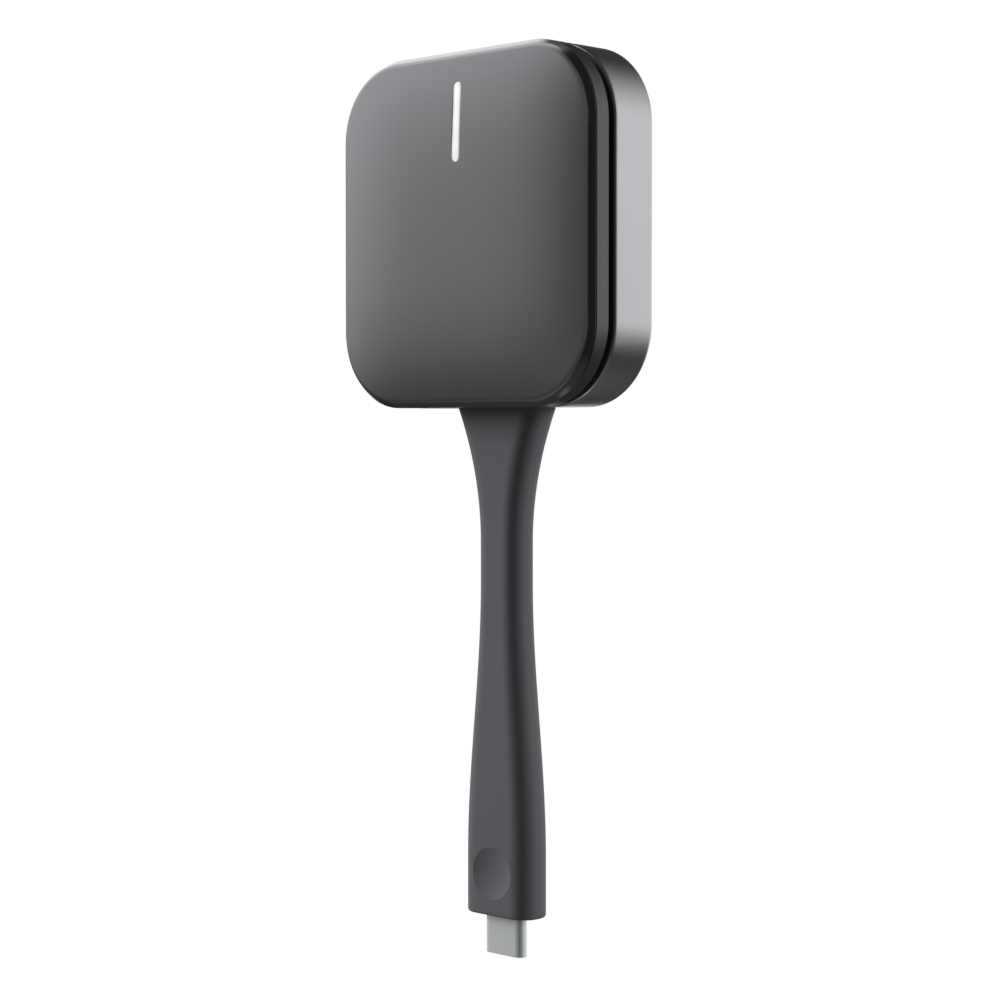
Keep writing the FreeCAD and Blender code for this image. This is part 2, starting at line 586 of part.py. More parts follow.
# The hot parts sit on the back of the board, facing the metal shell
def make_board_parts():
    chip_back = f"{BOARD_BACK} - chip_thick"
    block("processor", ("chip_size", "chip_thick", "chip_size"), chip_back, up="chip_rise")
    block("thermal_pad", ("chip_size", "pad_thick", "chip_size"), f"{chip_back} - pad_thick",
          up="chip_rise")
    memory_side = "chip_size / 2 + memory_gap + memory_width / 2"
    chips = []
    for side in (-1, 1):
        chips.append(block(f"memory_chip_{side + 2}",
                           ("memory_width", "memory_thick", "memory_height"),
                           f"{BOARD_BACK} - memory_thick", memory_side,
                           f"chip_rise + {side} * ( memory_height + memory_gap ) / 2"))
    group("memory_chips", chips)
    crystal_rise = "chip_rise + chip_size / 2 + crystal_gap + crystal_height / 2"
    block("crystal", ("crystal_width", "crystal_thick", "crystal_height"),
          f"{BOARD_BACK} - crystal_thick", up=crystal_rise)
    above_post = f"post_width / 2 + part_gap - {POST}"
    coil_side = "( socket_width + coil_size ) / 2 + part_gap"
    coils = []
    for place in range(3):
        coils.append(block(f"power_coil_{place + 1}", ("coil_size", "coil_thick", "coil_size"),
                           f"{BOARD_BACK} - coil_thick", f"{coil_side} + {place} * coil_pitch",
                           f"{above_post} + coil_size / 2"))
    group("power_coils", coils)
    shield_side = "0 - ( socket_width + shield_width ) / 2 - part_gap"
    shield_drop = f"{above_post} + shield_height / 2"
    can = block("shield_blank", ("shield_width", "shield_thick", "shield_height"),
                f"{BOARD_BACK} - shield_thick", shield_side, shield_drop)
    room = block("shield_room", ("shield_width - 2 * shield_skin", "shield_thick - shield_skin",
                                 "shield_height - 2 * shield_skin"),
                 f"{BOARD_BACK} - shield_thick + shield_skin", shield_side, shield_drop)
    cut("radio_shield", can, room)
    block("radio_chip", ("radio_width", "radio_thick", "radio_height"),
          f"{BOARD_BACK} - radio_thick", shield_side, shield_drop)


def make_status_leds():
    lamps = []
    for place in (-1, 0, 1):
        lamps.append(block(f"status_led_{place + 2}", ("led_width", "led_thick", "led_height"),
                           BOARD_FRONT, up=f"{LIGHT_RISE} + {place} * led_pitch"))
    group("status_leds", lamps)


def make_heat_spreader():
    body = new_body("heat_spreader", CENTRE)
    outline = new_sketch(body, "spreader_outline", "XZ_Plane", BACK_INSIDE, "0", "chip_rise")
    rounded_box(outline, "spreader_width", "spreader_height", "spreader_corner")
    pad(body, outline, "spreader_thick")
    return body


# The aerials lie on the plastic frame, level with the groove that they radiate through
def make_antennas():
    wall = f"{HALF} - ( {FRAME_INSET} ) - frame_wall"
    for name, across in (("antenna_left", f"antenna_thick / 2 - ( {wall} )"),
                         ("antenna_right", f"{wall} - antenna_thick / 2")):
        block(name, ("antenna_thick", "antenna_depth", "antenna_length"), FLOOR_FRONT, across,
              "antenna_rise")


# The cable's wires end in a header, which plugs into a socket let into the board's foot
def make_cable_joint():
    block("cable_header", ("header_width", "header_thick", "header_height"), "0 - header_thick / 2",
          up="header_height / 2", lift=CABLE_END)
    block("board_socket", ("socket_width", "socket_thick", "socket_height"),
          f"{BOARD_BACK} + board_thick / 2 - socket_thick / 2",
          up="header_height + socket_height / 2", lift=CABLE_END)


# The fork slides in from the front, round the spigot and behind the collar
def make_neck_fork():
    body = new_body("neck_fork")
    reach = f"{FORK_FRONT} - ( {BACK_INSIDE} ) - fork_clearance"
    plate = new_sketch(body, "fork_plate", "XY_Plane", SHELL_FLOOR, "0",
                       f"( {reach} ) / 2 - ( {FORK_FRONT} )")
    plain_box(plate, "fork_width", reach)
    pad(body, plate, "fork_height")
    gap = new_sketch(body, "fork_gap", "XY_Plane", f"{SHELL_FLOOR} + fork_height", "0",
                     f"( {COLLAR_THICK} ) / 2")
    plain_box(gap, "spigot_width + 2 * spigot_clearance", f"2 * ( {COLLAR_THICK} )")
    pocket(body, gap, "fork_height")
    return body


# The tail's outline eases from the grip to the waist, runs level, then flares as a parabola
def make_neck_sleeve():
    body = new_body("neck_sleeve")
    grip = new_sketch(body, "grip_outline", "XY_Plane", "0")
    rounded_box(grip, "grip_width", "grip_thick", "( grip_thick - neck_flat ) / 2")
    solid = pad(body, grip, "grip_height")
    dress(body, "Fillet", "grip_rounding", solid, edges_at(solid, "Z", 0), "Radius", "grip_round")
    stations = []
    taper_steps = 6
    for step in range(taper_steps + 1):
        run = step / taper_steps
        share = 1 - run * run * (3 - 2 * run)
        stations.append((f"grip_height + {run} * ( taper_end - grip_height )", share, "grip"))
    flare_steps = 5
    for step in range(flare_steps + 1):
        run = step / flare_steps
        stations.append((f"flare_start + {run} * ( neck_length - flare_start )", run * run, "root"))
    sketches = []
    for index, (height, share, end) in enumerate(stations):
        width = f"waist_width + {share} * ( {end}_width - waist_width )"
        thick = f"waist_thick + {share} * ( {end}_thick - waist_thick )"
        section = new_sketch(body, f"neck_section_{index}", "XY_Plane", height)
        rounded_box(section, width, thick, f"( {thick} - neck_flat ) / 2")
        sketches.append(section)
    doc.recompute()
    loft = body.newObject("PartDesign::AdditiveLoft", "neck_form")
    loft.Profile = sketches[0]
    loft.Sections = sketches[1:]
    body.Tip = loft
    doc.recompute()
    spigot = new_sketch(body, "spigot", "XY_Plane", "neck_length")
    slot(spigot, "spigot_width", SPIGOT_THICK)
    pad(body, spigot, f"{COLLAR_START} - neck_length")
    collar = new_sketch(body, "collar", "XY_Plane", COLLAR_START)
    slot(collar, "collar_width", COLLAR_THICK)
    pad(body, collar, "collar_height")
    bore = new_sketch(body, "cable_bore", "XY_Plane", f"{COLLAR_START} + collar_height")
    round_hole(bore, "cable_width + 2 * cable_fit")
    pocket(body, bore, f"{COLLAR_START} + collar_height - ( {MOULD_TOP} )")
    room = new_sketch(body, "mould_seat", "XY_Plane", MOULD_TOP)
    rounded_box(room, f"{MOULD_WIDTH} + 2 * mould_fit", f"{MOULD_THICK} + 2 * mould_fit",
                "mould_corner + mould_fit")
    pocket(body, room, f"{MOULD_TOP} - mould_start")
    mouth = new_sketch(body, "plug_mouth", "XY_Plane", "mould_start")
    slot(mouth, "plug_width + 2 * mould_fit", "plug_thick + 2 * mould_fit")
    pocket(body, mouth, "mould_start")
    dish = new_sketch(body, "thumb_dish", "YZ_Plane", "0", minus("grip_thick / 2"), "thumb_height")
    radius = "( thumb_width / 2 * thumb_width / 2 + thumb_depth * thumb_depth ) / ( 2 * thumb_depth )"
    make_dish_profile(dish, radius)
    groove = body.newObject("PartDesign::Groove", "thumb_dishing")
    groove.Profile = dish
    groove.ReferenceAxis = (dish, ["H_Axis"])
    groove.Angle = 360
    body.Tip = groove
    doc.recompute()
    return body


# Half of a shallow dish, to be turned about the sketch's flat axis.
# The axis pierces the grip's front face at the sketch's origin.
def make_dish_profile(sketch, radius):
    half = value_of("thumb_width") / 2
    depth = value_of("thumb_depth")
    ball = value_of(radius)
    sweep = math.asin(half / ball)
    circle = Part.Circle(point(depth - ball, 0), FreeCAD.Vector(0, 0, 1), ball)
    sketch.addGeometry([
        Part.ArcOfCircle(circle, 0, sweep),
        Part.LineSegment(point(0, half), point(-depth, half)),
        Part.LineSegment(point(-depth, half), point(-depth, 0)),
        Part.LineSegment(point(-depth, 0), point(depth, 0)),
    ], False)
    for one, end, other, start in ((0, 2, 1, 1), (1, 2, 2, 1), (2, 2, 3, 1), (3, 2, 0, 1)):
        sketch.addConstraint(Sketcher.Constraint("Coincident", one, end, other, start))
    sketch.addConstraint(Sketcher.Constraint("PointOnObject", 0, 3, -1))
    sketch.addConstraint(Sketcher.Constraint("PointOnObject", 0, 1, -1))
    sketch.addConstraint(Sketcher.Constraint("PointOnObject", 2, 2, -1))
    sketch.addConstraint(Sketcher.Constraint("PointOnObject", 1, 1, -2))
    sketch.addConstraint(Sketcher.Constraint("Horizontal", 1))
    sketch.addConstraint(Sketcher.Constraint("Vertical", 2))
    set_size(sketch, "radius", radius, "Radius", 0)
    set_size(sketch, "depth", "thumb_depth", "DistanceX", -1, 1, 0, 1)
    set_size(sketch, "overrun", "thumb_depth", "DistanceX", 2, 2, -1, 1)


def make_cable_core():
    body = new_body("cable_core")
    core = new_sketch(body, "core", "XY_Plane", CABLE_START)
    round_hole(core, "cable_width")
    pad(body, core, f"{CABLE_END} - ( {CABLE_START} )")
    return body


def make_plug_shell():
    body = new_body("plug_shell")
    outline = new_sketch(body, "plug_outline", "XY_Plane", "0 - plug_reach")
    slot(outline, "plug_width", "plug_thick")
    solid = pad(body, outline, "plug_reach + plug_tail")
    dress(body, "Fillet", "plug_tip_rounding", solid, edges_at(solid, "Z", -value_of("plug_reach")),
          "Radius", "plug_wall / 2")
    inside = new_sketch(body, "plug_inside", "XY_Plane", "plug_tail")
    slot(inside, "plug_width - 2 * plug_wall", "plug_thick - 2 * plug_wall")
    pocket(body, inside, "plug_reach + plug_tail")
    return body


def make_plug_insert():
    body = new_body("plug_insert")
    start = "insert_setback - plug_reach"
    outline = new_sketch(body, "insert_outline", "XY_Plane", start)
    slot(outline, "plug_width - 2 * ( plug_wall + insert_fit )",
         "plug_thick - 2 * ( plug_wall + insert_fit )")
    pad(body, outline, f"plug_tail - ( {start} )")
    mouth = new_sketch(body, "insert_mouth", "XY_Plane", f"{start} + mouth_depth")
    plain_box(mouth, "mouth_width", "mouth_gap")
    pocket(body, mouth, "mouth_depth")
    return body


# Two rows of spring strips lie on the mouth's two faces
def make_plug_contacts():
    strips = []
    middle = "contact_setback + contact_length / 2 - plug_reach"
    for side, back in (("front", "mouth_gap / 2 - contact_thick"), ("back", "0 - mouth_gap / 2")):
        for place in range(int(value_of("contact_count"))):
            across = f"{place} * contact_pitch - ( contact_count - 1 ) * contact_pitch / 2"
            strips.append(block(f"contact_{side}_{place + 1}",
                                ("contact_width", "contact_thick", "contact_length"),
                                back, across, "0", middle))
    return group("plug_contacts", strips)


def make_plug_latches():
    latches = []
    for side in (-1, 1):
        across = f"{side} * ( mouth_width - latch_width ) / 2"
        latches.append(block(f"latch_{side + 2}", ("latch_width", "latch_thick", "latch_length"),
                             "0 - latch_thick / 2", across, "0",
                             "latch_setback + latch_length / 2 - plug_reach"))
    return group("plug_latches", latches)


def make_plug_board():
    block("plug_board", ("plug_board_width", "plug_board_thick", "plug_board_length"),
          "0 - plug_board_thick / 2", up="plug_board_length / 2", lift="plug_tail")
    block("plug_chip", ("plug_chip_size", "plug_chip_thick", "plug_chip_size"),
          "plug_board_thick / 2", up="plug_board_length / 2", lift="plug_tail")


def make_plug_mould():
    body = new_body("plug_mould")
    outline = new_sketch(body, "mould_outline", "XY_Plane", "mould_start")
    rounded_box(outline, MOULD_WIDTH, MOULD_THICK, "mould_corner")
    pad(body, outline, f"{MOULD_TOP} - mould_start")
    room = new_sketch(body, "mould_room", "XY_Plane", CABLE_START)
    plain_box(room, f"{MOULD_WIDTH} - 2 * mould_wall", f"{MOULD_THICK} - 2 * mould_face")
    pocket(body, room, f"{CABLE_START} - mould_start - mould_wall")
    mouth = new_sketch(body, "mould_mouth", "XY_Plane", "mould_start + mould_wall")
    slot(mouth, "plug_width", "plug_thick")
    pocket(body, mouth, "mould_wall")
    bore = new_sketch(body, "mould_bore", "XY_Plane", MOULD_TOP)
    round_hole(bore, "cable_width + 2 * crimp_wall")
    pocket(body, bore, "mould_roof")
    return body


def make_cable_crimp():
    body = new_body("cable_crimp")
    ring = new_sketch(body, "crimp_ring", "XY_Plane", CABLE_START)
    round_hole(ring, "cable_width + 2 * crimp_wall")
    pad(body, ring, "mould_roof")
    hole = new_sketch(body, "crimp_hole", "XY_Plane", MOULD_TOP)
    round_hole(hole, "cable_width")
    pocket(body, hole, "mould_roof")
    return body


make_rear_shell()
make_inner_frame()
make_button_frame()
crown_form = make_crown()
make_front_panel(crown_form)
make_panel_adhesive()
make_light_guide(crown_form)
make_light_shroud()
make_return_domes()
make_frame_screws()
make_main_board()
make_tact_switch()
make_switch_plunger()
make_board_parts()
make_status_leds()
make_heat_spreader()
make_antennas()
make_cable_joint()
make_neck_fork()
make_neck_sleeve()
make_cable_core()
make_plug_shell()
make_plug_insert()
make_plug_contacts()
make_plug_latches()
make_plug_board()
make_plug_mould()
make_cable_crimp()
doc.recompute()

NODES = [
    "plug_shell", "plug_insert", "plug_contacts", "plug_latches", "plug_board", "plug_chip",
    "plug_mould", "cable_crimp", "cable_core", "neck_sleeve", "neck_fork",
    "rear_shell", "inner_frame", "frame_screws", "main_board", "processor", "thermal_pad",
    "heat_spreader", "memory_chips", "radio_chip", "radio_shield", "power_coils", "crystal",
    "status_leds", "light_shroud", "antenna_left", "antenna_right", "tact_switch",
    "switch_plunger", "board_socket", "cable_header", "return_domes", "button_frame",
    "panel_adhesive", "front_panel", "light_guide",
]

for item in doc.Objects:
    if "Invalid" in item.State or "Error" in item.State:
        raise RuntimeError(f"{item.Name} did not build: {item.State}")

pieces = {}
for name in NODES:
    shape = doc.getObject(name).Shape
    if shape.isNull() or not shape.isValid() or not shape.Solids:
        raise RuntimeError(f"{name} is not a sound solid")
    pieces[name] = shape

os.makedirs("parts", exist_ok=True)
for name, shape in pieces.items():
    shape.exportStep(f"parts/{name}.step")
    print(f"{name}: {len(shape.Solids)} solid, {shape.Volume:.2f} mm3")
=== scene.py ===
import math

import bmesh
import bpy
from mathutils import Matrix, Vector


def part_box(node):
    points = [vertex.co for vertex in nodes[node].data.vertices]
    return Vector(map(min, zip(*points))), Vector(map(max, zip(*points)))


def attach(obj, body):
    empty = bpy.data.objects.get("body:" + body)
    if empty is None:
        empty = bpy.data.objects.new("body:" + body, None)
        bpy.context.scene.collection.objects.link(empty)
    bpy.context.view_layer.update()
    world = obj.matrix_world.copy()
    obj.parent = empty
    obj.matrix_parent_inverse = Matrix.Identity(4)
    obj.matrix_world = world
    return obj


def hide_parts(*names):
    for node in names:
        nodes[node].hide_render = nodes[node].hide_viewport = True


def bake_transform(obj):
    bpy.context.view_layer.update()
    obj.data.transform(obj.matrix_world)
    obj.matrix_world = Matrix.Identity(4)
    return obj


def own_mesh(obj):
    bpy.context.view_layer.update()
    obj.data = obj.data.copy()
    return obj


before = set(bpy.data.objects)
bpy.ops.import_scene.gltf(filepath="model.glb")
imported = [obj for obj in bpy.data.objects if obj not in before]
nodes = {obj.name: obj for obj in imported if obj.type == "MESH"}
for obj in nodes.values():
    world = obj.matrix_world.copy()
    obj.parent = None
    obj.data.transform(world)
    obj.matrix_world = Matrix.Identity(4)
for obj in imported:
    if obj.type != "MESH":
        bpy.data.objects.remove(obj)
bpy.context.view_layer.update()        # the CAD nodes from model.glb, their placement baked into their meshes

mm = 0.001
case = {"half": 28.5, "corner": 13.0, "middle": 111.4}        # the puck's square, in millimetres
print("stage: frame loaded,", len(nodes), "CAD nodes")


# A node's output that can stand in a Python sum, in shader and geometry trees alike
class Value:
    def __init__(self, tree, socket):
        self.tree = tree
        self.socket = socket

    def __getitem__(self, name):        # another output of the same node
        return Value(self.tree, self.socket.node.outputs[name])

    def __add__(self, other):
        return self.tree.math("ADD", self, other)

    def __radd__(self, other):
        return self.tree.math("ADD", other, self)

    def __sub__(self, other):
        return self.tree.math("SUBTRACT", self, other)

    def __rsub__(self, other):
        return self.tree.math("SUBTRACT", other, self)

    def __mul__(self, other):
        return self.tree.math("MULTIPLY", self, other)

    def __rmul__(self, other):
        return self.tree.math("MULTIPLY", other, self)

    def __truediv__(self, other):
        return self.tree.math("DIVIDE", self, other)

    def __rtruediv__(self, other):
        return self.tree.math("DIVIDE", other, self)

    def __pow__(self, other):
        return self.tree.math("POWER", self, other)

    def held(self):        # kept between 0 and 1
        return self.tree.math("MINIMUM", self.tree.math("MAXIMUM", self, 0.0), 1.0)

    def eased(self):        # smoothstep of a value from 0 to 1
        return self * self * (3 - 2 * self)


class Tree:
    def __init__(self, nodeTree):
        self.nodeTree = nodeTree
        nodeTree.nodes.clear()

    # Settings come first, because some of them change the node's sockets. A list holds the links
    # of a socket that takes several.
    def node(self, kind, settings=None, values=None, output=0):
        made = self.nodeTree.nodes.new(kind)
        for name, value in (settings or {}).items():
            setattr(made, name, value)
        for key, value in (values or {}).items():
            for entry in value if isinstance(value, list) else [value]:
                if isinstance(entry, Value):
                    self.nodeTree.links.new(entry.socket, made.inputs[key])
                else:
                    made.inputs[key].default_value = entry
        return Value(self, made.outputs[output]) if made.outputs else made

    def math(self, operation, *terms):
        return self.node("ShaderNodeMath", {"operation": operation}, dict(enumerate(terms)))

    def vectorMath(self, operation, *terms, output=0):
        return self.node("ShaderNodeVectorMath", {"operation": operation}, dict(enumerate(terms)),
                         output)

    def vector(self, x, y, z):
        return self.node("ShaderNodeCombineXYZ", values={0: x, 1: y, 2: z})

    def blend(self, share, first, second):        # two colours
        return self.node("ShaderNodeMix", {"data_type": "RGBA"}, {0: share, 6: first, 7: second}, 2)


def direction(azimuth, elevation):        # azimuth in degrees from +X towards +Y
    around, up = math.radians(azimuth), math.radians(elevation)
    return Vector((math.cos(around) * math.cos(up), math.sin(around) * math.cos(up), math.sin(up)))


# Camera, lamps and world

camera = {"place": (0.27738, -0.28036, 0.07813), "turn": 44.855, "pitch": -1.491, "lens": 86.94,
          "sensor": 36, "nearest": 0.01}

lens = bpy.data.cameras.new("camera")
lens.sensor_width = camera["sensor"]
lens.lens = camera["lens"]
lens.clip_start = camera["nearest"]
photoCamera = bpy.data.objects.new("camera", lens)
bpy.context.scene.collection.objects.link(photoCamera)
photoCamera.location = camera["place"]
facing = direction(90 + camera["turn"], camera["pitch"])
photoCamera.rotation_euler = facing.to_track_quat("-Z", "Y").to_euler()
bpy.context.scene.camera = photoCamera

# Soft lamps well away from the object. Power in watts, size and distance in metres.
lamps = {
    "left_softbox": {"azimuth": 218, "elevation": 14, "distance": 1.5, "size": 0.9, "power": 25},
    "right_softbox": {"azimuth": 40, "elevation": 10, "distance": 1.5, "size": 0.9, "power": 18.5},
    "top_softbox": {"azimuth": 180, "elevation": 62, "distance": 1.5, "size": 0.8, "power": 4},
}
puckCentre = Vector((0, 0, case["middle"] * mm))
for name, lamp in lamps.items():
    light = bpy.data.lights.new(name, "AREA")
    light.shape = "DISK"
    light.size = lamp["size"]
    light.energy = lamp["power"]
    softbox = bpy.data.objects.new(name, light)
    bpy.context.scene.collection.objects.link(softbox)
    towards = direction(lamp["azimuth"], lamp["elevation"])
    softbox.location = puckCentre + towards * lamp["distance"]
    softbox.rotation_euler = (-towards).to_track_quat("-Z", "Y").to_euler()
    softbox.visible_camera = False
    softbox.visible_glossy = False        # the metal sees the world's cards instead

# The world is the studio itself: a dim room with soft bright cards, in front of a white backdrop.
# Each rises, holds and falls at four azimuths and four elevations, in degrees. The metal sees the
# backdrop behind the object, and the camera sees white wherever it looks.
room = {
    "ambient": 0.04,
    "backdrop": {"azimuth": (115, 122, 147, 157), "elevation": (-20, -14, 12, 20)},
    "cards": {
        "right": {"azimuth": (-5, 20, 55, 105), "elevation": (-26.5, 5, 8, 68), "level": 0.93},
        "left": {"azimuth": (165, 202, 202, 245), "elevation": (-9.5, 16, 60, 90), "level": 2.45},
        "top": {"azimuth": (140, 150, 174, 184), "elevation": (12, 22, 50, 60), "level": 2.4},
        "front": {"azimuth": (256, 270, 280, 296), "elevation": (-30, 5, 25, 60), "level": 0.4},
        "back": {"azimuth": (55, 85, 110, 130), "elevation": (-25, -5, 8, 24), "level": 0.7},
        "under": {"azimuth": (195, 225, 262, 288), "elevation": (-62, -48, -36, -24), "level": 0.3},
        "floor": {"azimuth": (-46, -45, 315, 316), "elevation": (-91, -90, -50, -32), "level": 0.08},
    },
}
studio = bpy.data.worlds.new("studio")
studio.use_nodes = True
bpy.context.scene.world = studio
tree = Tree(studio.node_tree)
way = tree.node("ShaderNodeSeparateXYZ", values={
    "Vector": tree.vectorMath("NORMALIZE", tree.node("ShaderNodeTexCoord", output=0))})
degree = 180 / math.pi
rise = tree.math("ARCSINE", way["Z"]) * degree
# azimuth from -45 to 315, so that the map's seam lies behind the camera
turn = tree.math("ARCTAN2", (way + way["Y"]) * -1, way["Y"] - way) * degree + 135


def ramp(value, low, high):
    return ((value - low) / (high - low)).held().eased()


def cardShape(card):
    shape = 1
    for angle, edge in ((turn, card["azimuth"]), (rise, card["elevation"])):
        shape = shape * ramp(angle, edge[0], edge[1]) * (1 - ramp(angle, edge[2], edge[3]))
    return shape


glow = room["ambient"]
for card in room["cards"].values():
    glow = glow + cardShape(card) * card["level"]
ray = tree.node("ShaderNodeLightPath")
mirrored = (ray["Is Glossy Ray"] + ray["Is Transmission Ray"]).held()
white = (ray["Is Camera Ray"] + mirrored * cardShape(room["backdrop"])).held()
glow = glow + white * (1 - glow)
sky = tree.node("ShaderNodeBackground", values={"Strength": glow, "Color": (1, 1, 1, 1)})
tree.node("ShaderNodeOutputWorld", values={"Surface": sky})
print("stage: camera, lamps and world")


# Finishes. Sizes of grain and cells and depths of bumps are in millimetres.

def grey(level, blue=1.035):
    return (level, level, level * blue, 1)


def scaled(colour, factor):
    return tuple(min(1, part * factor) for part in colour[:3]) + (1,)


def spread(share, width):        # swings either side of nothing
    return (share - 0.5) * width


def mottled(tree, share, colour, contrast):        # a darker to a lighter shade of one colour
    return tree.blend(share, scaled(colour, 1 - contrast), scaled(colour, 1 + contrast))


def startMaterial(name):
    material = bpy.data.materials.new(name)
    material.use_nodes = True
    tree = Tree(material.node_tree)
    return material, tree, tree.node("ShaderNodeTexCoord", output=3)        # Object coordinates


def grain(tree, place, size, detail=2.0, roughness=0.5, stretch=None):
    if stretch:
        place = tree.node("ShaderNodeMapping", values={"Vector": place, "Scale": stretch})
    return tree.node("ShaderNodeTexNoise", {"noise_dimensions": "3D"},
                     {"Vector": place, "Scale": 1 / (size * mm), "Detail": detail,
                      "Roughness": roughness})


def cellsOf(tree, place, size, feature="F1"):
    return tree.node("ShaderNodeTexVoronoi", {"feature": feature},
                     {"Vector": place, "Scale": 1 / (size * mm)})


def finish(material, tree, colour, roughness, metallic, height, strength, depth, **constants):
    values = {"Base Color": colour, "Roughness": roughness, "Metallic": metallic}
    values["Normal"] = tree.node("ShaderNodeBump", values={
        "Strength": strength, "Distance": depth * mm, "Height": height})
    values.update({name.replace("_", " "): value for name, value in constants.items()})
    shader = tree.node("ShaderNodeBsdfPrincipled", values=values)
    tree.node("ShaderNodeOutputMaterial", values={"Surface": shader})
    return material


# Anodised or metallic-painted sheet: a fine sparkle in the tone, a soft unevenness in the gloss
def satinMetal(name, level, metallic, roughness, grainSize=0.2, cloudSize=16, contrast=0.06,
               smear=0.03, bump=0.12, blue=1.035):
    material, tree, place = startMaterial(name)
    fine = grain(tree, place, grainSize, detail=3.0, roughness=0.6)
    cloud = grain(tree, place, cloudSize)
    tone = mottled(tree, fine, grey(level, blue), contrast)
    gloss = roughness + spread(cloud, smear) + spread(fine, 0.05)
    return finish(material, tree, tone, gloss, metallic, fine, bump, depth=0.01)


# Drawn or rolled metal: fine lines along one axis, with a few deeper patches
def drawnMetal(name, colour, roughness, lines=(1, 1, 0.04), lineSize=0.09, patchSize=3.5,
               contrast=0.12, bump=0.25, metallic=1.0):
    material, tree, place = startMaterial(name)
    line = grain(tree, place, lineSize, detail=3.0, roughness=0.65, stretch=lines)
    patch = grain(tree, place, patchSize)
    tone = mottled(tree, line * 0.7 + patch * 0.3, colour, contrast)
    gloss = roughness + spread(line, 0.16) + spread(patch, 0.1)
    return finish(material, tree, tone, gloss, metallic, line, bump, depth=0.008)


# Matt elastomer: the tool's eroded texture, and a faint bloom that lightens it in patches
def softRubber(name, level, roughness, grainSize=0.28, bloomSize=9, contrast=0.08, bump=0.35,
               blue=1.035, **constants):
    material, tree, place = startMaterial(name)
    fine = grain(tree, place, grainSize, detail=4.0, roughness=0.62)
    bloom = grain(tree, place, bloomSize, detail=3.0)
    tone = mottled(tree, fine * 0.6 + bloom * 0.4, grey(level, blue), contrast)
    gloss = roughness + spread(bloom, 0.08) + spread(fine, 0.06)
    return finish(material, tree, tone, gloss, 0.0, fine, bump, depth=0.02, **constants)


# Moulded plastic: eroded texture cells with a slight flow mottle
def mouldedPlastic(name, colour, roughness, cellSize=0.3, flowSize=5, contrast=0.1, bump=0.3):
    material, tree, place = startMaterial(name)
    cells = cellsOf(tree, place, cellSize, "SMOOTH_F1")
    flow = grain(tree, place, flowSize, detail=3.0, roughness=0.55, stretch=(1, 1, 0.5))
    tone = mottled(tree, (cells * 0.5 + flow * 0.5).held(), colour, contrast)
    gloss = roughness + spread(flow, 0.12)
    return finish(material, tree, tone, gloss, 0.0, cells, bump, depth=0.015)


# Solder mask with the copper tracks and the glass weave showing through. Turns and scales are per metre.
board = {"mask": (0.02, 0.09, 0.05, 1), "overCopper": 2.1, "copper": (0.75, 0.5, 0.25, 1),
         "weaveTurns": 9000, "trackScale": 260, "holeScale": 420, "holeSize": 0.16}


def circuitBoard(name):
    material, tree, place = startMaterial(name)
    split = tree.node("ShaderNodeSeparateXYZ", values={"Vector": place})
    across, up = split, split["Z"]
    weave = (tree.math("SINE", across * board["weaveTurns"])
             * tree.math("SINE", up * board["weaveTurns"]))
    tracks = tree.node("ShaderNodeTexBrick", {"offset": 0.37, "squash": 0.6, "squash_frequency": 3},
                       {"Vector": tree.vector(across, up, 0.0), "Scale": board["trackScale"],
                        "Mortar Size": 0.06, "Mortar Smooth": 0.2, "Bias": 0.0}, 1)
    dots = tree.node("ShaderNodeTexVoronoi", {"feature": "F1"},
                     {"Vector": place, "Scale": board["holeScale"]})
    plated = 1 - ((dots - board["holeSize"]) * 40).held()
    tone = tree.blend(tracks * 0.45, board["mask"], scaled(board["mask"], board["overCopper"]))
    tone = tree.blend(plated, tone, board["copper"])
    gloss = 0.32 + weave * 0.04 - plated * 0.08
    return finish(material, tree, tone, gloss, plated * 0.9, tracks * 0.5 + weave * 0.08,
                  strength=0.4, depth=0.03)


# A lit translucent bar: brightest over its lamps and along its middle. Its places are in metres.
barLight = {"lampRise": 0.1288, "pitch": 0.0042, "evenHalf": 0.0003375, "halfWidth": 0.0009,
            "body": 0.12, "ripple": 0.02, "hazeSize": 0.6}


def litBar(name, level, falloff):
    material, tree, place = startMaterial(name)
    split = tree.node("ShaderNodeSeparateXYZ", values={"Vector": place})
    above = split["Z"] - barLight["lampRise"]
    wave = tree.math("COSINE", above * (2 * math.pi / barLight["pitch"]))
    side = ramp(tree.math("ABSOLUTE", split), barLight["evenHalf"], barLight["halfWidth"])
    high = ramp(above, barLight["pitch"], 2 * barLight["pitch"])
    haze = grain(tree, place, barLight["hazeSize"])
    lit = level * (1 - side * falloff) * (1 - high * falloff * 0.6)
    lit = lit + wave * barLight["ripple"] + spread(haze, barLight["ripple"])
    glowing = tree.node("ShaderNodeCombineColor", values={0: lit * 0.985, 1: lit * 0.99, 2: lit})
    return finish(material, tree, grey(barLight["body"]), 0.35 + spread(haze, 0.1), 0.0, haze,
                  strength=0.1, depth=0.01, Emission_Color=glowing, Emission_Strength=1.0)


def openFoam(name, level, cellsPerMm=2.6, contrast=0.6):
    material, tree, place = startMaterial(name)
    cells = cellsOf(tree, place, 1 / cellsPerMm)
    tone = mottled(tree, cells.held(), grey(level), contrast)
    return finish(material, tree, tone, 0.9 - cells * 0.1, 0.0, cells, strength=0.8, depth=0.1)


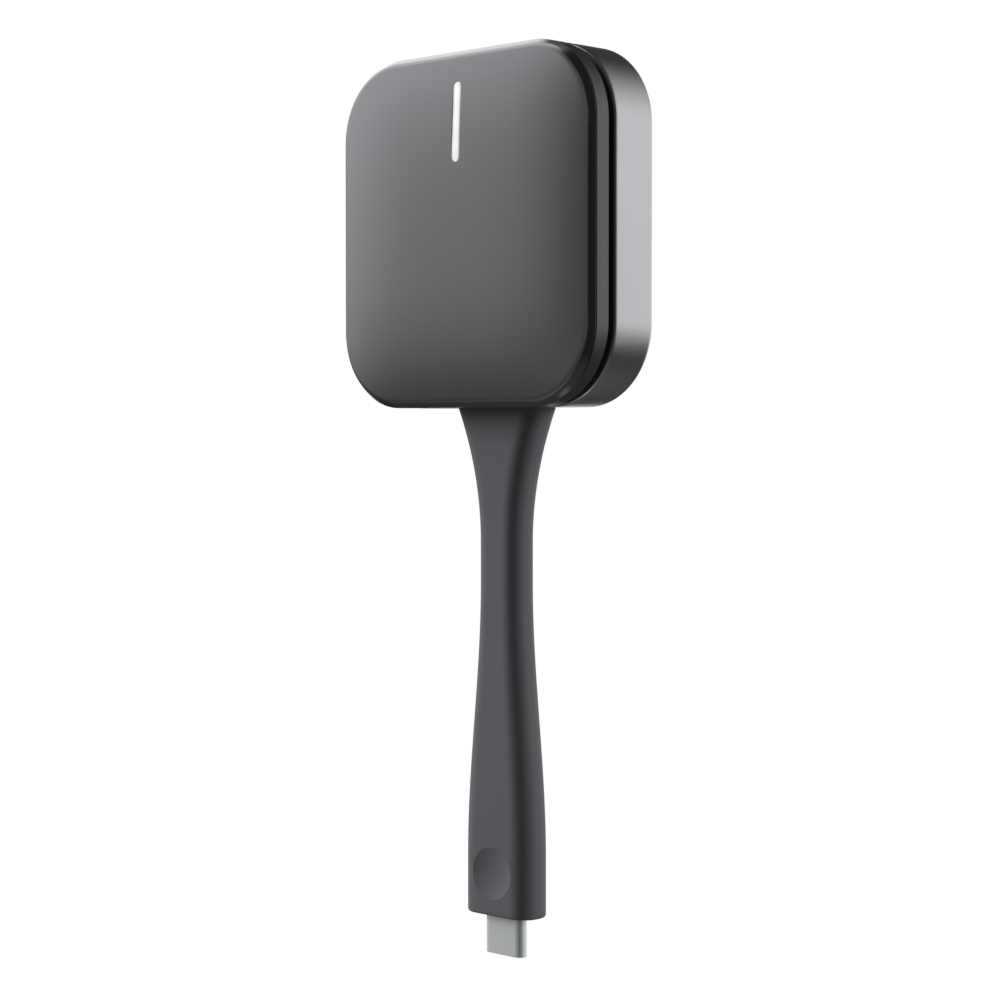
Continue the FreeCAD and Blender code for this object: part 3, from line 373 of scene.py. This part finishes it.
finishes = {
    "panel_grey": satinMetal("panelGrey", 0.205, metallic=0.92, roughness=0.36, blue=1.055),
    "panel_edge": satinMetal("panelEdge", 0.18, metallic=0.95, roughness=0.18, bump=0.1),
    "band_grey": satinMetal("bandGrey", 0.115, metallic=0.85, roughness=0.36, contrast=0.08, blue=1.04),
    "shell_metal": satinMetal("shellMetal", 0.57, metallic=1.0, roughness=0.3, grainSize=0.16,
                              contrast=0.05, smear=0.04, bump=0.2, blue=1.04),
    "sleeve_rubber": softRubber("sleeveRubber", 0.098, 0.62, blue=1.1, Specular_IOR_Level=0.3),
    "cable_jacket": softRubber("cableJacket", 0.03, 0.55, grainSize=0.2),
    "dome_silicone": softRubber("domeSilicone", 0.4, 0.45, grainSize=0.5, contrast=0.05, bump=0.15),
    "pad_blue": mouldedPlastic("padBlue", (0.25, 0.35, 0.5, 1), 0.8, 0.4, contrast=0.12),
    "foam_black": openFoam("foamBlack", 0.02),
    "frame_black": mouldedPlastic("frameBlack", (0.12, 0.12, 0.125, 1), 0.5, 0.25, contrast=0.15),
    "plug_insert": mouldedPlastic("plugInsert", (0.02, 0.02, 0.022, 1), 0.45, 0.12, contrast=0.15),
    "inner_mould": mouldedPlastic("innerMould", (0.35, 0.35, 0.34, 1), 0.5, 0.4, contrast=0.06),
    "chip_black": mouldedPlastic("chipBlack", (0.025, 0.025, 0.028, 1), 0.6, 0.1, contrast=0.2),
    "coil_ferrite": mouldedPlastic("coilFerrite", (0.06, 0.06, 0.062, 1), 0.7, 0.15, contrast=0.25),
    "adhesive_black": mouldedPlastic("adhesiveBlack", (0.015, 0.015, 0.015, 1), 0.6, 0.5, contrast=0.2),
    "switch_black": mouldedPlastic("switchBlack", (0.03, 0.03, 0.03, 1), 0.5, 0.15),
    "plunger_plastic": mouldedPlastic("plungerPlastic", (0.3, 0.3, 0.3, 1), 0.4, 0.2, contrast=0.06),
    "socket_white": mouldedPlastic("socketWhite", (0.7, 0.68, 0.6, 1), 0.45, 0.3, contrast=0.05),
    "plug_steel": drawnMetal("plugSteel", (0.88, 0.92, 0.93, 1), 0.45, contrast=0.06, metallic=0.65),
    "contact_gold": drawnMetal("contactGold", (0.78, 0.56, 0.24, 1), 0.22, (1, 1, 0.1), 0.03),
    "crimp_steel": drawnMetal("crimpSteel", (0.55, 0.52, 0.48, 1), 0.35, (1, 1, 0.2), 0.06),
    "screw_steel": drawnMetal("screwSteel", grey(0.45), 0.3, (1, 0.1, 1), 0.05),
    "fork_steel": drawnMetal("forkSteel", grey(0.5, 1.0), 0.33, (0.05, 1, 1), 0.06),
    "spreader_metal": drawnMetal("spreaderMetal", grey(0.6, 1.01), 0.4, (0.04, 1, 1), 0.12),
    "shield_metal": drawnMetal("shieldMetal", (0.6, 0.6, 0.58, 1), 0.35, (0.05, 1, 1), 0.1),
    "crystal_metal": drawnMetal("crystalMetal", (0.65, 0.65, 0.63, 1), 0.3, (0.1, 1, 1), 0.06),
    "antenna_copper": drawnMetal("antennaCopper", (0.7, 0.4, 0.25, 1), 0.35, (1, 0.1, 1), 0.08),
    "circuit_board": circuitBoard("circuitBoard"),
    "light_white": litBar("lightWhite", level=0.77, falloff=0.55),
    "led_white": litBar("ledWhite", level=0.8, falloff=0.0),
}
print("stage: finishes,", len(finishes))


# Shared shaping

def newPiece(name, mesh, finishName, sharp=30):
    piece = bpy.data.objects.new(name, mesh)
    bpy.context.scene.collection.objects.link(piece)
    mesh.materials.clear()
    mesh.materials.append(finishes[finishName])
    piece["finishes"] = [finishName]
    smooth(mesh, sharp)
    return piece


def smooth(mesh, sharp):        # edges that turn by more than sharp degrees stay crisp
    mesh.shade_smooth()
    mesh.set_sharp_from_angle(angle=math.radians(sharp))


def plainMesh(piece):        # the piece with its modifiers worked in, and none left
    bpy.context.view_layer.update()
    graph = bpy.context.evaluated_depsgraph_get()
    mesh = bpy.data.meshes.new_from_object(piece.evaluated_get(graph), depsgraph=graph)
    piece.modifiers.clear()
    old = piece.data
    piece.data = mesh
    while len(mesh.materials) < len(piece["finishes"]):
        mesh.materials.append(None)
    while len(mesh.materials) > len(piece["finishes"]):
        mesh.materials.pop()
    for index, finishName in enumerate(piece["finishes"]):
        mesh.materials[index] = finishes[finishName]
    mesh.name = piece.name
    if not old.users:
        bpy.data.meshes.remove(old)
    return mesh


# Face-weighted normals keep the flats flat beside rounded corners
def settleNormals(piece):
    weight = piece.modifiers.new("weight", "WEIGHTED_NORMAL")
    weight.mode = "FACE_AREA"
    weight.keep_sharp = True
    plainMesh(piece)


# Merges doubles and, where asked, turns the faces outwards
def mended(source, mesh, near, turnOut=True):
    work = bmesh.new()
    work.from_mesh(source)
    bmesh.ops.remove_doubles(work, verts=work.verts, dist=near)
    if turnOut:
        bmesh.ops.recalc_face_normals(work, faces=work.faces)
    work.to_mesh(mesh)
    work.free()
    return mesh


def smoothCopy(node, name, finishName, body, sharp=28, near=2e-6):
    mesh = mended(nodes[node].data, bpy.data.meshes.new(name), near, turnOut=False)
    piece = newPiece(name, mesh, finishName, sharp)
    settleNormals(piece)
    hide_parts(node)
    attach(piece, body)


def meshFromRings(name, rings, closeStart=True, closeEnd=True):
    work = bmesh.new()
    made = [[work.verts.new(point) for point in ring] for ring in rings]
    count = len(made[0])
    for lower, upper in zip(made, made[1:]):
        for index in range(count):
            after = (index + 1) % count
            work.faces.new((lower[index], lower[after], upper[after], upper[index]))
    if closeStart:
        closeRing(work, made[0])
    if closeEnd:
        closeRing(work, made[-1])
    bmesh.ops.remove_doubles(work, verts=work.verts, dist=1e-7)
    bmesh.ops.recalc_face_normals(work, faces=work.faces)
    mesh = bpy.data.meshes.new(name)
    work.to_mesh(mesh)
    work.free()
    return mesh


def closeRing(work, ring):
    middle = sum((vert.co for vert in ring), Vector()) / len(ring)
    hub = work.verts.new(middle)
    for index, vert in enumerate(ring):
        work.faces.new((vert, ring[(index + 1) % len(ring)], hub))


def circle(radius, sides):
    angles = (2 * math.pi * index / sides for index in range(sides))
    return [(radius * math.cos(angle), radius * math.sin(angle)) for angle in angles]


# Points round a rectangle with rounded corners, anticlockwise, in millimetres
def roundedBox(halfWidth, halfHeight, corner, steps, flatSteps):
    def onCorner(quarter, share):
        centreX = (halfWidth - corner) * (1 if quarter % 4 in (0, 3) else -1)
        centreY = (halfHeight - corner) * (1 if quarter % 4 in (0, 1) else -1)
        angle = math.pi / 2 * (quarter + share)
        return centreX + corner * math.cos(angle), centreY + corner * math.sin(angle)

    points = []
    for quarter in range(4):
        points += [onCorner(quarter, step / steps) for step in range(steps + 1)]
        last, goal = points[-1], onCorner(quarter + 1, 0)
        for share in (step / flatSteps for step in range(1, flatSteps)):
            points.append(tuple(here + (there - here) * share for here, there in zip(last, goal)))
    return points


def stadium(width, thick, steps=16):
    radius = thick / 2
    return roundedBox(width / 2, radius, radius - 1e-4, steps, 1)


def prism(name, outline, low, high, layers=1):        # an upright prism, in millimetres
    levels = [low + (high - low) * layer / layers for layer in range(layers + 1)]
    return meshFromRings(name, [[Vector((x * mm, y * mm, z * mm)) for x, y in outline] for z in levels])


def cutAway(piece, cutterMesh, operation="DIFFERENCE"):
    cutter = bpy.data.objects.new("cutter", cutterMesh)
    bpy.context.scene.collection.objects.link(cutter)
    knife = piece.modifiers.new("cut", "BOOLEAN")
    knife.operation = operation
    knife.solver = "EXACT"
    knife.object = cutter
    plainMesh(piece)
    for polygon in piece.data.polygons:
        polygon.material_index = 0
    bpy.data.objects.remove(cutter)
    bpy.data.meshes.remove(cutterMesh)


# Geometry trees

def geometryTree(name, sizes):        # sizes in millimetres become named inputs in metres
    inputs = {label: size * mm for label, size in sizes.items()}
    group = bpy.data.node_groups.new(name, "GeometryNodeTree")
    group.interface.new_socket("Geometry", in_out="INPUT", socket_type="NodeSocketGeometry")
    for label in inputs:
        group.interface.new_socket(label, in_out="INPUT", socket_type="NodeSocketFloat")
    group.interface.new_socket("Geometry", in_out="OUTPUT", socket_type="NodeSocketGeometry")
    tree = Tree(group)
    start = tree.node("NodeGroupInput")
    return tree, inputs, {label: start[label] for label in inputs}


def endTree(tree, geometry, finishName):
    real = tree.node("GeometryNodeRealizeInstances", values={"Geometry": geometry})
    dressed = tree.node("GeometryNodeSetMaterial", values={"Geometry": real,
                                                           "Material": finishes[finishName]})
    tree.node("NodeGroupOutput", values={"Geometry": dressed})


def grow(name, tree, inputs, finishName, sharp=40):
    piece = newPiece(name, bpy.data.meshes.new(name), finishName)
    growing = piece.modifiers.new("grow", "NODES")
    growing.node_group = tree.nodeTree
    for item in tree.nodeTree.interface.items_tree:
        if item.in_out == "INPUT" and item.name in inputs:
            growing[item.identifier] = inputs[item.name]
    mesh = plainMesh(piece)
    mended(mesh, mesh, 1e-7)
    smooth(mesh, sharp)
    return piece


def broken(step, values):        # a line through values at steps 0, 1, 2, ...
    line = values[0]
    for index, (here, after) in enumerate(zip(values, values[1:])):
        line = line + (step - index).held() * (after - here)
    return line


# A grid's columns and rows as two values: share of the way round, and row number
def gridField(tree, columns, rows):
    grid = tree.node("GeometryNodeMeshGrid", values={"Size X": 1.0, "Size Y": 1.0,
                                                    "Vertices X": columns, "Vertices Y": rows})
    place = tree.node("ShaderNodeSeparateXYZ", values={"Vector": tree.node("GeometryNodeInputPosition")})
    return grid, place + 0.5, (place["Y"] + 0.5) * (rows - 1)


def wrapGrid(tree, grid, x, y, z):        # rolls the grid up and closes its seam and poles
    moved = tree.node("GeometryNodeSetPosition", values={"Geometry": grid,
                                                         "Position": tree.vector(x, y, z)})
    return tree.node("GeometryNodeMergeByDistance", values={"Geometry": moved, "Distance": 1e-6})


# The tail's sleeve: a rounded section that eases from the grip to the waist and flares to the case

sleeve = {
    "outside": {
        "Grip height": 10.0, "Taper end": 54.0, "Flare start": 61.0, "Length": 82.9,
        "Grip width": 14.7, "Waist width": 9.15, "Root width": 19.1,
        "Grip thickness": 7.1, "Waist thickness": 6.0, "Root thickness": 7.0,
        "Flat": 0.7, "End round": 0.5,
    },
    "dish": {"width": 8.6, "depth": 0.6, "height": 7.0, "margin": 0.5, "clear": 2.0, "rings": 14,
             "sides": 96},
    "mouth": {"width": 8.35, "thick": 2.5, "depth": 1.2, "below": 1.0},
    "seat": {"width": 12.3, "thick": 4.7, "corner": 1.25, "cornerSteps": 6, "top": 16.5},
    "bore": {"width": 3.1, "end": 89.0, "sides": 32, "layers": 72},        # the layers let it bend
    "spigot": {"width": 13.0, "thick": 4.2, "start": 82.4},
    "collar": {"width": 18.0, "thick": 4.4, "start": 85.45, "top": 87.25},
    "overlap": 0.1,
}


def sleeveTree(columnsPerPart=9, capRows=2, roundRows=6, sideRows=130):
    tree, inputs, size = geometryTree("tail sleeve", sleeve["outside"])
    rows = capRows + roundRows + sideRows + capRows + 1
    grid, around, row = gridField(tree, 8 * columnsPerPart + 1, rows)
    bottomShare = (row / capRows).held()
    turn = ((row - capRows) / roundRows).held() * (math.pi / 2)
    run = ((row - capRows - roundRows) / sideRows).held()
    topShare = 1 - ((row - capRows - roundRows - sideRows) / capRows).held()
    inset = size["End round"] * (1 - tree.math("SINE", turn))
    curl = size["End round"] * (1 - tree.math("COSINE", turn))
    height = curl + run * (size["Length"] - size["End round"])
    taper = 1 - ((height - size["Grip height"]) / (size["Taper end"] - size["Grip height"])).held().eased()
    flare = ((height - size["Flare start"]) / (size["Length"] - size["Flare start"])).held() ** 2
    halves = []
    for label in ("width", "thickness"):
        waist = size[f"Waist {label}"]
        whole = waist + taper * (size[f"Grip {label}"] - waist) + flare * (size[f"Root {label}"] - waist)
        halves.append(whole / 2)
    flatDeep = size["Flat"] / 2
    radius = halves[1] - flatDeep
    flatWide = halves[0] - radius
    radius = radius - inset
    part = around * 8        # flats are parts 0, 2, 4 and 6, corners the others
    angle = ((part - 1).held() + (part - 3).held() + (part - 5).held() + (part - 7).held()) * (math.pi / 2)
    middleX = flatWide * (1 - 2 * (part - 2).held() + 2 * (part - 6).held())
    middleY = flatDeep * (2 * part.held() - 2 * (part - 4).held() - 1)
    share = bottomShare * topShare
    x = (middleX + radius * tree.math("COSINE", angle)) * share
    y = (middleY + radius * tree.math("SINE", angle)) * share
    endTree(tree, wrapGrid(tree, grid, x, y, height), "sleeve_rubber")
    return tree, inputs


# A shallow spherical cutter that stands in front of the grip
def dishCutter():
    dish, front = sleeve["dish"], -sleeve["outside"]["Grip thickness"] / 2
    depth = dish["depth"]
    ball = (dish["width"] * dish["width"] / 4 + depth * depth) / (2 * depth)
    rings = []
    for step in range(1, dish["rings"] + 1):
        out = (dish["width"] / 2 + dish["margin"]) * step / dish["rings"]
        y = front + depth - ball + math.sqrt(ball * ball - out * out)
        rings.append([Vector((x * mm, y * mm, (dish["height"] + z) * mm))
                      for x, z in circle(out, dish["sides"])])
    rings.append([Vector((point.x, (front - dish["clear"]) * mm, point.z)) for point in rings[-1]])
    return meshFromRings("dish", rings)


# Adds what stands in the case, and takes away the room for the cable, the plug and the thumb
def fitSleeve(piece):
    spigot, collar, bore = sleeve["spigot"], sleeve["collar"], sleeve["bore"]
    seat, mouth, overlap = sleeve["seat"], sleeve["mouth"], sleeve["overlap"]
    cutAway(piece, prism("spigot", stadium(spigot["width"], spigot["thick"]), spigot["start"],
                         collar["start"] + overlap), "UNION")
    cutAway(piece, prism("collar", stadium(collar["width"], collar["thick"]), collar["start"],
                         collar["top"]), "UNION")
    cutAway(piece, prism("bore", circle(bore["width"] / 2, bore["sides"]), seat["top"] - 2 * overlap,
                         bore["end"], bore["layers"]))
    cutAway(piece, prism("seat", roundedBox(seat["width"] / 2, seat["thick"] / 2, seat["corner"],
                                            seat["cornerSteps"], 1), mouth["depth"], seat["top"]))
    cutAway(piece, prism("mouth", stadium(mouth["width"], mouth["thick"]), -mouth["below"],
                         mouth["depth"] + overlap))
    cutAway(piece, dishCutter())


tree, inputs = sleeveTree()
tail = grow("tail_sleeve", tree, inputs, "sleeve_rubber")
fitSleeve(tail)
mended(tail.data, tail.data, 1.5e-6)
smooth(tail.data, sharp=12)
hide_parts("neck_sleeve")

# The cable in the sleeve

cable = {"Width": 3.0, "Start": 13.0, "End": 90.0}


def cableTree(columns=24, rows=60, faceShare=0.96):
    tree, inputs, size = geometryTree("cable", cable)
    grid, around, row = gridField(tree, columns + 1, rows + 5)
    share = (broken(row, (0.0, faceShare, 1.0))
             - broken(row - rows - 2, (0.0, 1 - faceShare, 1.0)))
    run = ((row - 2) / rows).held()
    angle = around * (-2 * math.pi)
    out = size["Width"] / 2 * share
    height = size["Start"] + run * (size["End"] - size["Start"])
    x, y = out * tree.math("COSINE", angle), out * tree.math("SINE", angle)
    endTree(tree, wrapGrid(tree, grid, x, y, height), "cable_jacket")
    return tree, inputs


tree, inputs = cableTree()
core = grow("tail_cable", tree, inputs, "cable_jacket")
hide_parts("cable_core")

for piece in (tail, core):
    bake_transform(piece)
print("stage: tail and cable")

# The front panel: a square with a bevelled rim and a crown that falls away at its edges

panel = {
    "back": -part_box("front_panel")[1].y / mm, "lip": 0.05, "bevel": 0.88, "crown": 1.3, "power": 4,
    "margin": 0.1, "softness": 0.45,
    "backInset": 0.04, "backRise": 0.02, "bevelLoop": 0.15, "easeSteps": 8,
    "rimInsets": (1.7, 2.1), "fieldInset": 2.6, "fieldRings": 30, "steps": 24,
    # faces steeper, smaller (in square metres) and further out than these take the bevel's finish
    "edgeTilt": 0.76, "edgeFace": 1e-5, "edgeReach": 14,
}
bar = {"length": 12.7, "width": 1.75, "rise": 17.0, "fit": 0.05, "steps": 20, "slotReach": (9, 14)}


def crownDepth(x, z):
    reach = case["half"] + panel["margin"]
    rim = panel["back"] + panel["lip"] + panel["bevel"]
    power = panel["power"]
    return rim + panel["crown"] * (1 - (x / reach) ** power) * (1 - (z / reach) ** power)


def panelPoint(x, z, depth):
    return Vector((x * mm, -depth * mm, (z + case["middle"]) * mm))


def squareOutline(inset):
    half, corner = case["half"] - inset, case["corner"] - inset
    return roundedBox(half, half, corner, panel["steps"], panel["steps"])


def squareRing(inset, depth=None, share=1.0):        # on the crown where no depth is given
    return [panelPoint(x * share, z * share, crownDepth(x * share, z * share) if depth is None else depth)
            for x, z in squareOutline(inset)]


def makePanel():
    side = panel["back"] + panel["lip"]
    soft, bevel, easeSteps = panel["softness"], panel["bevel"], panel["easeSteps"]
    outer, inner, settled = squareRing(0.0, side), squareRing(bevel), squareRing(bevel + soft)
    middle = [a.lerp(b, 0.5) for a, b in zip(outer, inner)]
    rings = [squareRing(panel["backInset"], panel["back"]),
             squareRing(0.0, panel["back"] + panel["backRise"]), outer]
    rings.append([a.lerp(b, panel["bevelLoop"]) for a, b in zip(outer, inner)])
    for share in (step / easeSteps for step in range(easeSteps + 1)):        # the bevel eases into the crown
        rings.append([a.lerp(b, share).lerp(b.lerp(c, share), share)
                      for a, b, c in zip(middle, inner, settled)])
    for inset in panel["rimInsets"]:
        rings.append(squareRing(inset))
    for step in range(panel["fieldRings"]):
        rings.append(squareRing(panel["fieldInset"], share=1 - step / panel["fieldRings"]))
    return meshFromRings("front_panel", rings)


def uprightStadium(length, width):
    return [(z, x) for x, z in stadium(length, width, bar["steps"])][::-1]


face = newPiece("front_plate", makePanel(), "panel_grey")
slotOutline = uprightStadium(bar["length"] + 2 * bar["fit"], bar["width"] + 2 * bar["fit"])
cutAway(face, meshFromRings("slot", [[panelPoint(x, z + bar["rise"], depth) for x, z in slotOutline]
                                     for depth in bar["slotReach"]]))
face["finishes"] = ["panel_grey", "panel_edge"]
face.data.materials.append(finishes["panel_edge"])
for polygon in face.data.polygons:
    middle = polygon.center
    reachOut = max(abs(middle.x), abs(middle.z - case["middle"] * mm)) / mm
    onEdge = -polygon.normal.y < panel["edgeTilt"] and reachOut > panel["edgeReach"]
    polygon.material_index = 1 if onEdge and polygon.area < panel["edgeFace"] else 0
smooth(face.data, sharp=20)
settleNormals(face)
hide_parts("front_panel")
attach(face, "button")

# The light bar, flush with the crown, on its flange behind the plate

guide = {"back": -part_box("light_guide")[1].y / mm, "flangeDepth": 0.9, "flange": 1.0,
         "rim": ((0.0, 0.08), (0.02, 0.03), (0.08, 0.0))}        # inset and drop of its rounded edge


def makeGuide():
    rise = bar["rise"]
    halfLength, halfWidth = bar["length"] / 2, bar["width"] / 2
    flange = [(z, x) for x, z in roundedBox(halfLength + guide["flange"], halfWidth + guide["flange"],
                                            guide["flange"], bar["steps"], 1)][::-1]
    body = uprightStadium(bar["length"], bar["width"])
    shoulder = guide["back"] + guide["flangeDepth"]
    rings = [[panelPoint(x, z + rise, depth) for x, z in flange] for depth in (guide["back"], shoulder)]
    rings.append([panelPoint(x, z + rise, shoulder) for x, z in body])
    for inset, drop in guide["rim"]:
        ring = uprightStadium(bar["length"] - 2 * inset, bar["width"] - 2 * inset)
        rings.append([panelPoint(x, z + rise, crownDepth(x, z + rise) - drop) for x, z in ring])
    return meshFromRings("light_bar", rings)


lightBar = newPiece("light_bar", makeGuide(), "light_white")
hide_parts("light_guide")
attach(lightBar, "button")
print("stage: front panel and light bar")

# The case, the cap's band and the plug's shell, from the CAD's own forms

smoothCopy("rear_shell", "rear_case", "shell_metal", "housing")
smoothCopy("button_frame", "face_band", "band_grey", "button")
smoothCopy("inner_frame", "inner_tray", "frame_black", "housing")
smoothCopy("panel_adhesive", "panel_glue", "adhesive_black", "button")
smoothCopy("plug_shell", "plug_sheath", "plug_steel", "plug_end")
smoothCopy("plug_insert", "plug_tongue", "plug_insert", "plug_end")
smoothCopy("cable_crimp", "crimp_ring", "crimp_steel", "plug_end")
smoothCopy("frame_screws", "tray_screws", "screw_steel", "housing")
print("stage: case, band and plug")

# The plug's spring strips: two rows of twelve, each bowed towards the mouth's middle

strips = {"Pitch": 0.5, "Width": 0.24, "Thickness": 0.1, "Length": 3.8, "Start": -5.75, "Gap": 0.9,
          "Bow": 0.09}


def stripTree(count=12, rows=14, bowRate=1.15):        # the bow ends a little before the strip
    tree, inputs, size = geometryTree("contact strips", strips)
    grid, around, row = gridField(tree, 5, rows + 3)
    corner = tree.math("ROUND", around * 4)
    share = broken(row, (0.0, 1.0)) - broken(row - rows - 1, (0.0, 1.0))
    run = ((row - 1) / rows).held()
    # the four corners of the strip's section, and the first again
    sideways = broken(corner, (0.5, -0.5, -0.5, 0.5, 0.5)) * size["Width"] * share
    section = 0.5 + (broken(corner, (0.0, 0.0, 1.0, 1.0, 0.0)) - 0.5) * share
    section = section * size["Thickness"]
    hump = tree.math("SINE", (run * bowRate).held() * math.pi) * size["Bow"]
    height = size["Start"] + run * size["Length"]
    strip = wrapGrid(tree, grid, sideways, section + hump - size["Gap"] / 2, height)
    line = tree.node("GeometryNodeMeshLine", {"mode": "OFFSET"},
                     {"Count": count, "Start Location": (0, 0, 0),
                      "Offset": tree.vector(size["Pitch"], 0.0, 0.0)})
    shift = tree.vector(size["Pitch"] * (-(count - 1) / 2), 0.0, 0.0)
    places = tree.node("GeometryNodeSetPosition", values={"Geometry": line, "Offset": shift})
    sides = [tree.node("GeometryNodeInstanceOnPoints",
                       values={"Points": places, "Instance": strip, "Rotation": (0, 0, turned)})
             for turned in (0.0, math.pi)]
    endTree(tree, tree.node("GeometryNodeJoinGeometry", values={0: sides}), "contact_gold")
    return tree, inputs


tree, inputs = stripTree()
contacts = grow("spring_strips", tree, inputs, "contact_gold")
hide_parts("plug_contacts")
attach(contacts, "plug_end")

# The domes that push the face back out

domes = {"Spread": 12.0, "Floor": -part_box("return_domes")[1].y / mm, "Height": 3.05, "Skin": 0.5,
         "Base": 2.8, "Tip": 1.4}


def domeTree(columns=32):
    tree, inputs, size = geometryTree("return domes", domes)
    grid, around, row = gridField(tree, columns + 1, 8)
    tip, base, skin, high = size["Tip"], size["Base"], size["Skin"], size["Height"]
    out = broken(row, (0.0, tip * 0.5, tip - skin, base - skin, base, tip, tip * 0.6, 0.0))
    deep = broken(row, (high - skin, high - skin, high - skin, 0.0, 0.0, high, high, high))
    angle = around * (-2 * math.pi)
    dome = wrapGrid(tree, grid, out * tree.math("COSINE", angle), 0 - size["Floor"] - deep,
                    out * tree.math("SINE", angle))
    corners = tree.node("GeometryNodeMeshGrid", values={
        "Size X": size["Spread"] * 2, "Size Y": size["Spread"] * 2, "Vertices X": 2, "Vertices Y": 2})
    upright = tree.node("GeometryNodeTransform", values={
        "Geometry": corners, "Rotation": (math.pi / 2, 0, 0),
        "Translation": (0, 0, case["middle"] * mm)})
    placed = tree.node("GeometryNodeInstanceOnPoints", values={"Points": upright, "Instance": dome})
    endTree(tree, placed, "dome_silicone")
    return tree, inputs


tree, inputs = domeTree()
pushers = grow("push_domes", tree, inputs, "dome_silicone")
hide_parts("return_domes")
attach(pushers, "housing")
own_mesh(pushers)
print("stage: contacts and domes")

# CAD nodes whose shape stays get their finish

carried = {
    "plug_latches": "plug_steel", "plug_board": "circuit_board", "plug_chip": "chip_black",
    "plug_mould": "inner_mould", "neck_fork": "fork_steel", "main_board": "circuit_board",
    "processor": "chip_black", "thermal_pad": "pad_blue", "heat_spreader": "spreader_metal",
    "memory_chips": "chip_black", "radio_chip": "chip_black", "radio_shield": "shield_metal",
    "power_coils": "coil_ferrite", "crystal": "crystal_metal", "status_leds": "led_white",
    "light_shroud": "foam_black", "antenna_left": "antenna_copper", "antenna_right": "antenna_copper",
    "tact_switch": "switch_black", "switch_plunger": "plunger_plastic", "board_socket": "socket_white",
    "cable_header": "socket_white",
}
for name, finishName in carried.items():
    for place in nodes[name].material_slots:
        place.material = finishes[finishName]
print("stage: carried nodes,", len(carried))

# The floor: a pale disc well below the plug, which keeps the object's shadow and fades to its edge.
# In metres, apart from the speckle's size.

floor = {"height": -0.4, "radius": 0.13, "inner": 0.07, "fade": 0.03, "sides": 96,
         "level": 0.78, "speckle": 0.02, "speckleSize": 2.5}


def floorMaterial():
    material, tree, place = startMaterial("paleFloor")
    out = tree.vectorMath("LENGTH", place, output=1)
    speckle = grain(tree, place, floor["speckleSize"])
    tone = tree.blend(speckle, grey(floor["level"] - floor["speckle"], 1.0),
                      grey(floor["level"] + floor["speckle"], 1.0))
    seen = 1 - ((out - floor["fade"]) / (floor["radius"] - floor["fade"])).held().eased()
    matt = tree.node("ShaderNodeBsdfDiffuse", values={"Color": tone})
    clear = tree.node("ShaderNodeBsdfTransparent")
    mixed = tree.node("ShaderNodeMixShader", values={0: seen, 1: clear, 2: matt})
    tree.node("ShaderNodeOutputMaterial", values={"Surface": mixed})
    return material


disc = meshFromRings("floor", [[Vector((x, y, 0)) for x, y in circle(radius, floor["sides"])]
                               for radius in (floor["radius"], floor["inner"])], closeStart=False)
ground = bpy.data.objects.new("floor", disc)
disc.materials.append(floorMaterial())
ground.location = (0, 0, floor["height"])
bpy.context.scene.collection.objects.link(ground)

bpy.context.scene.view_settings.view_transform = "Standard"
print("stage: floor and view")
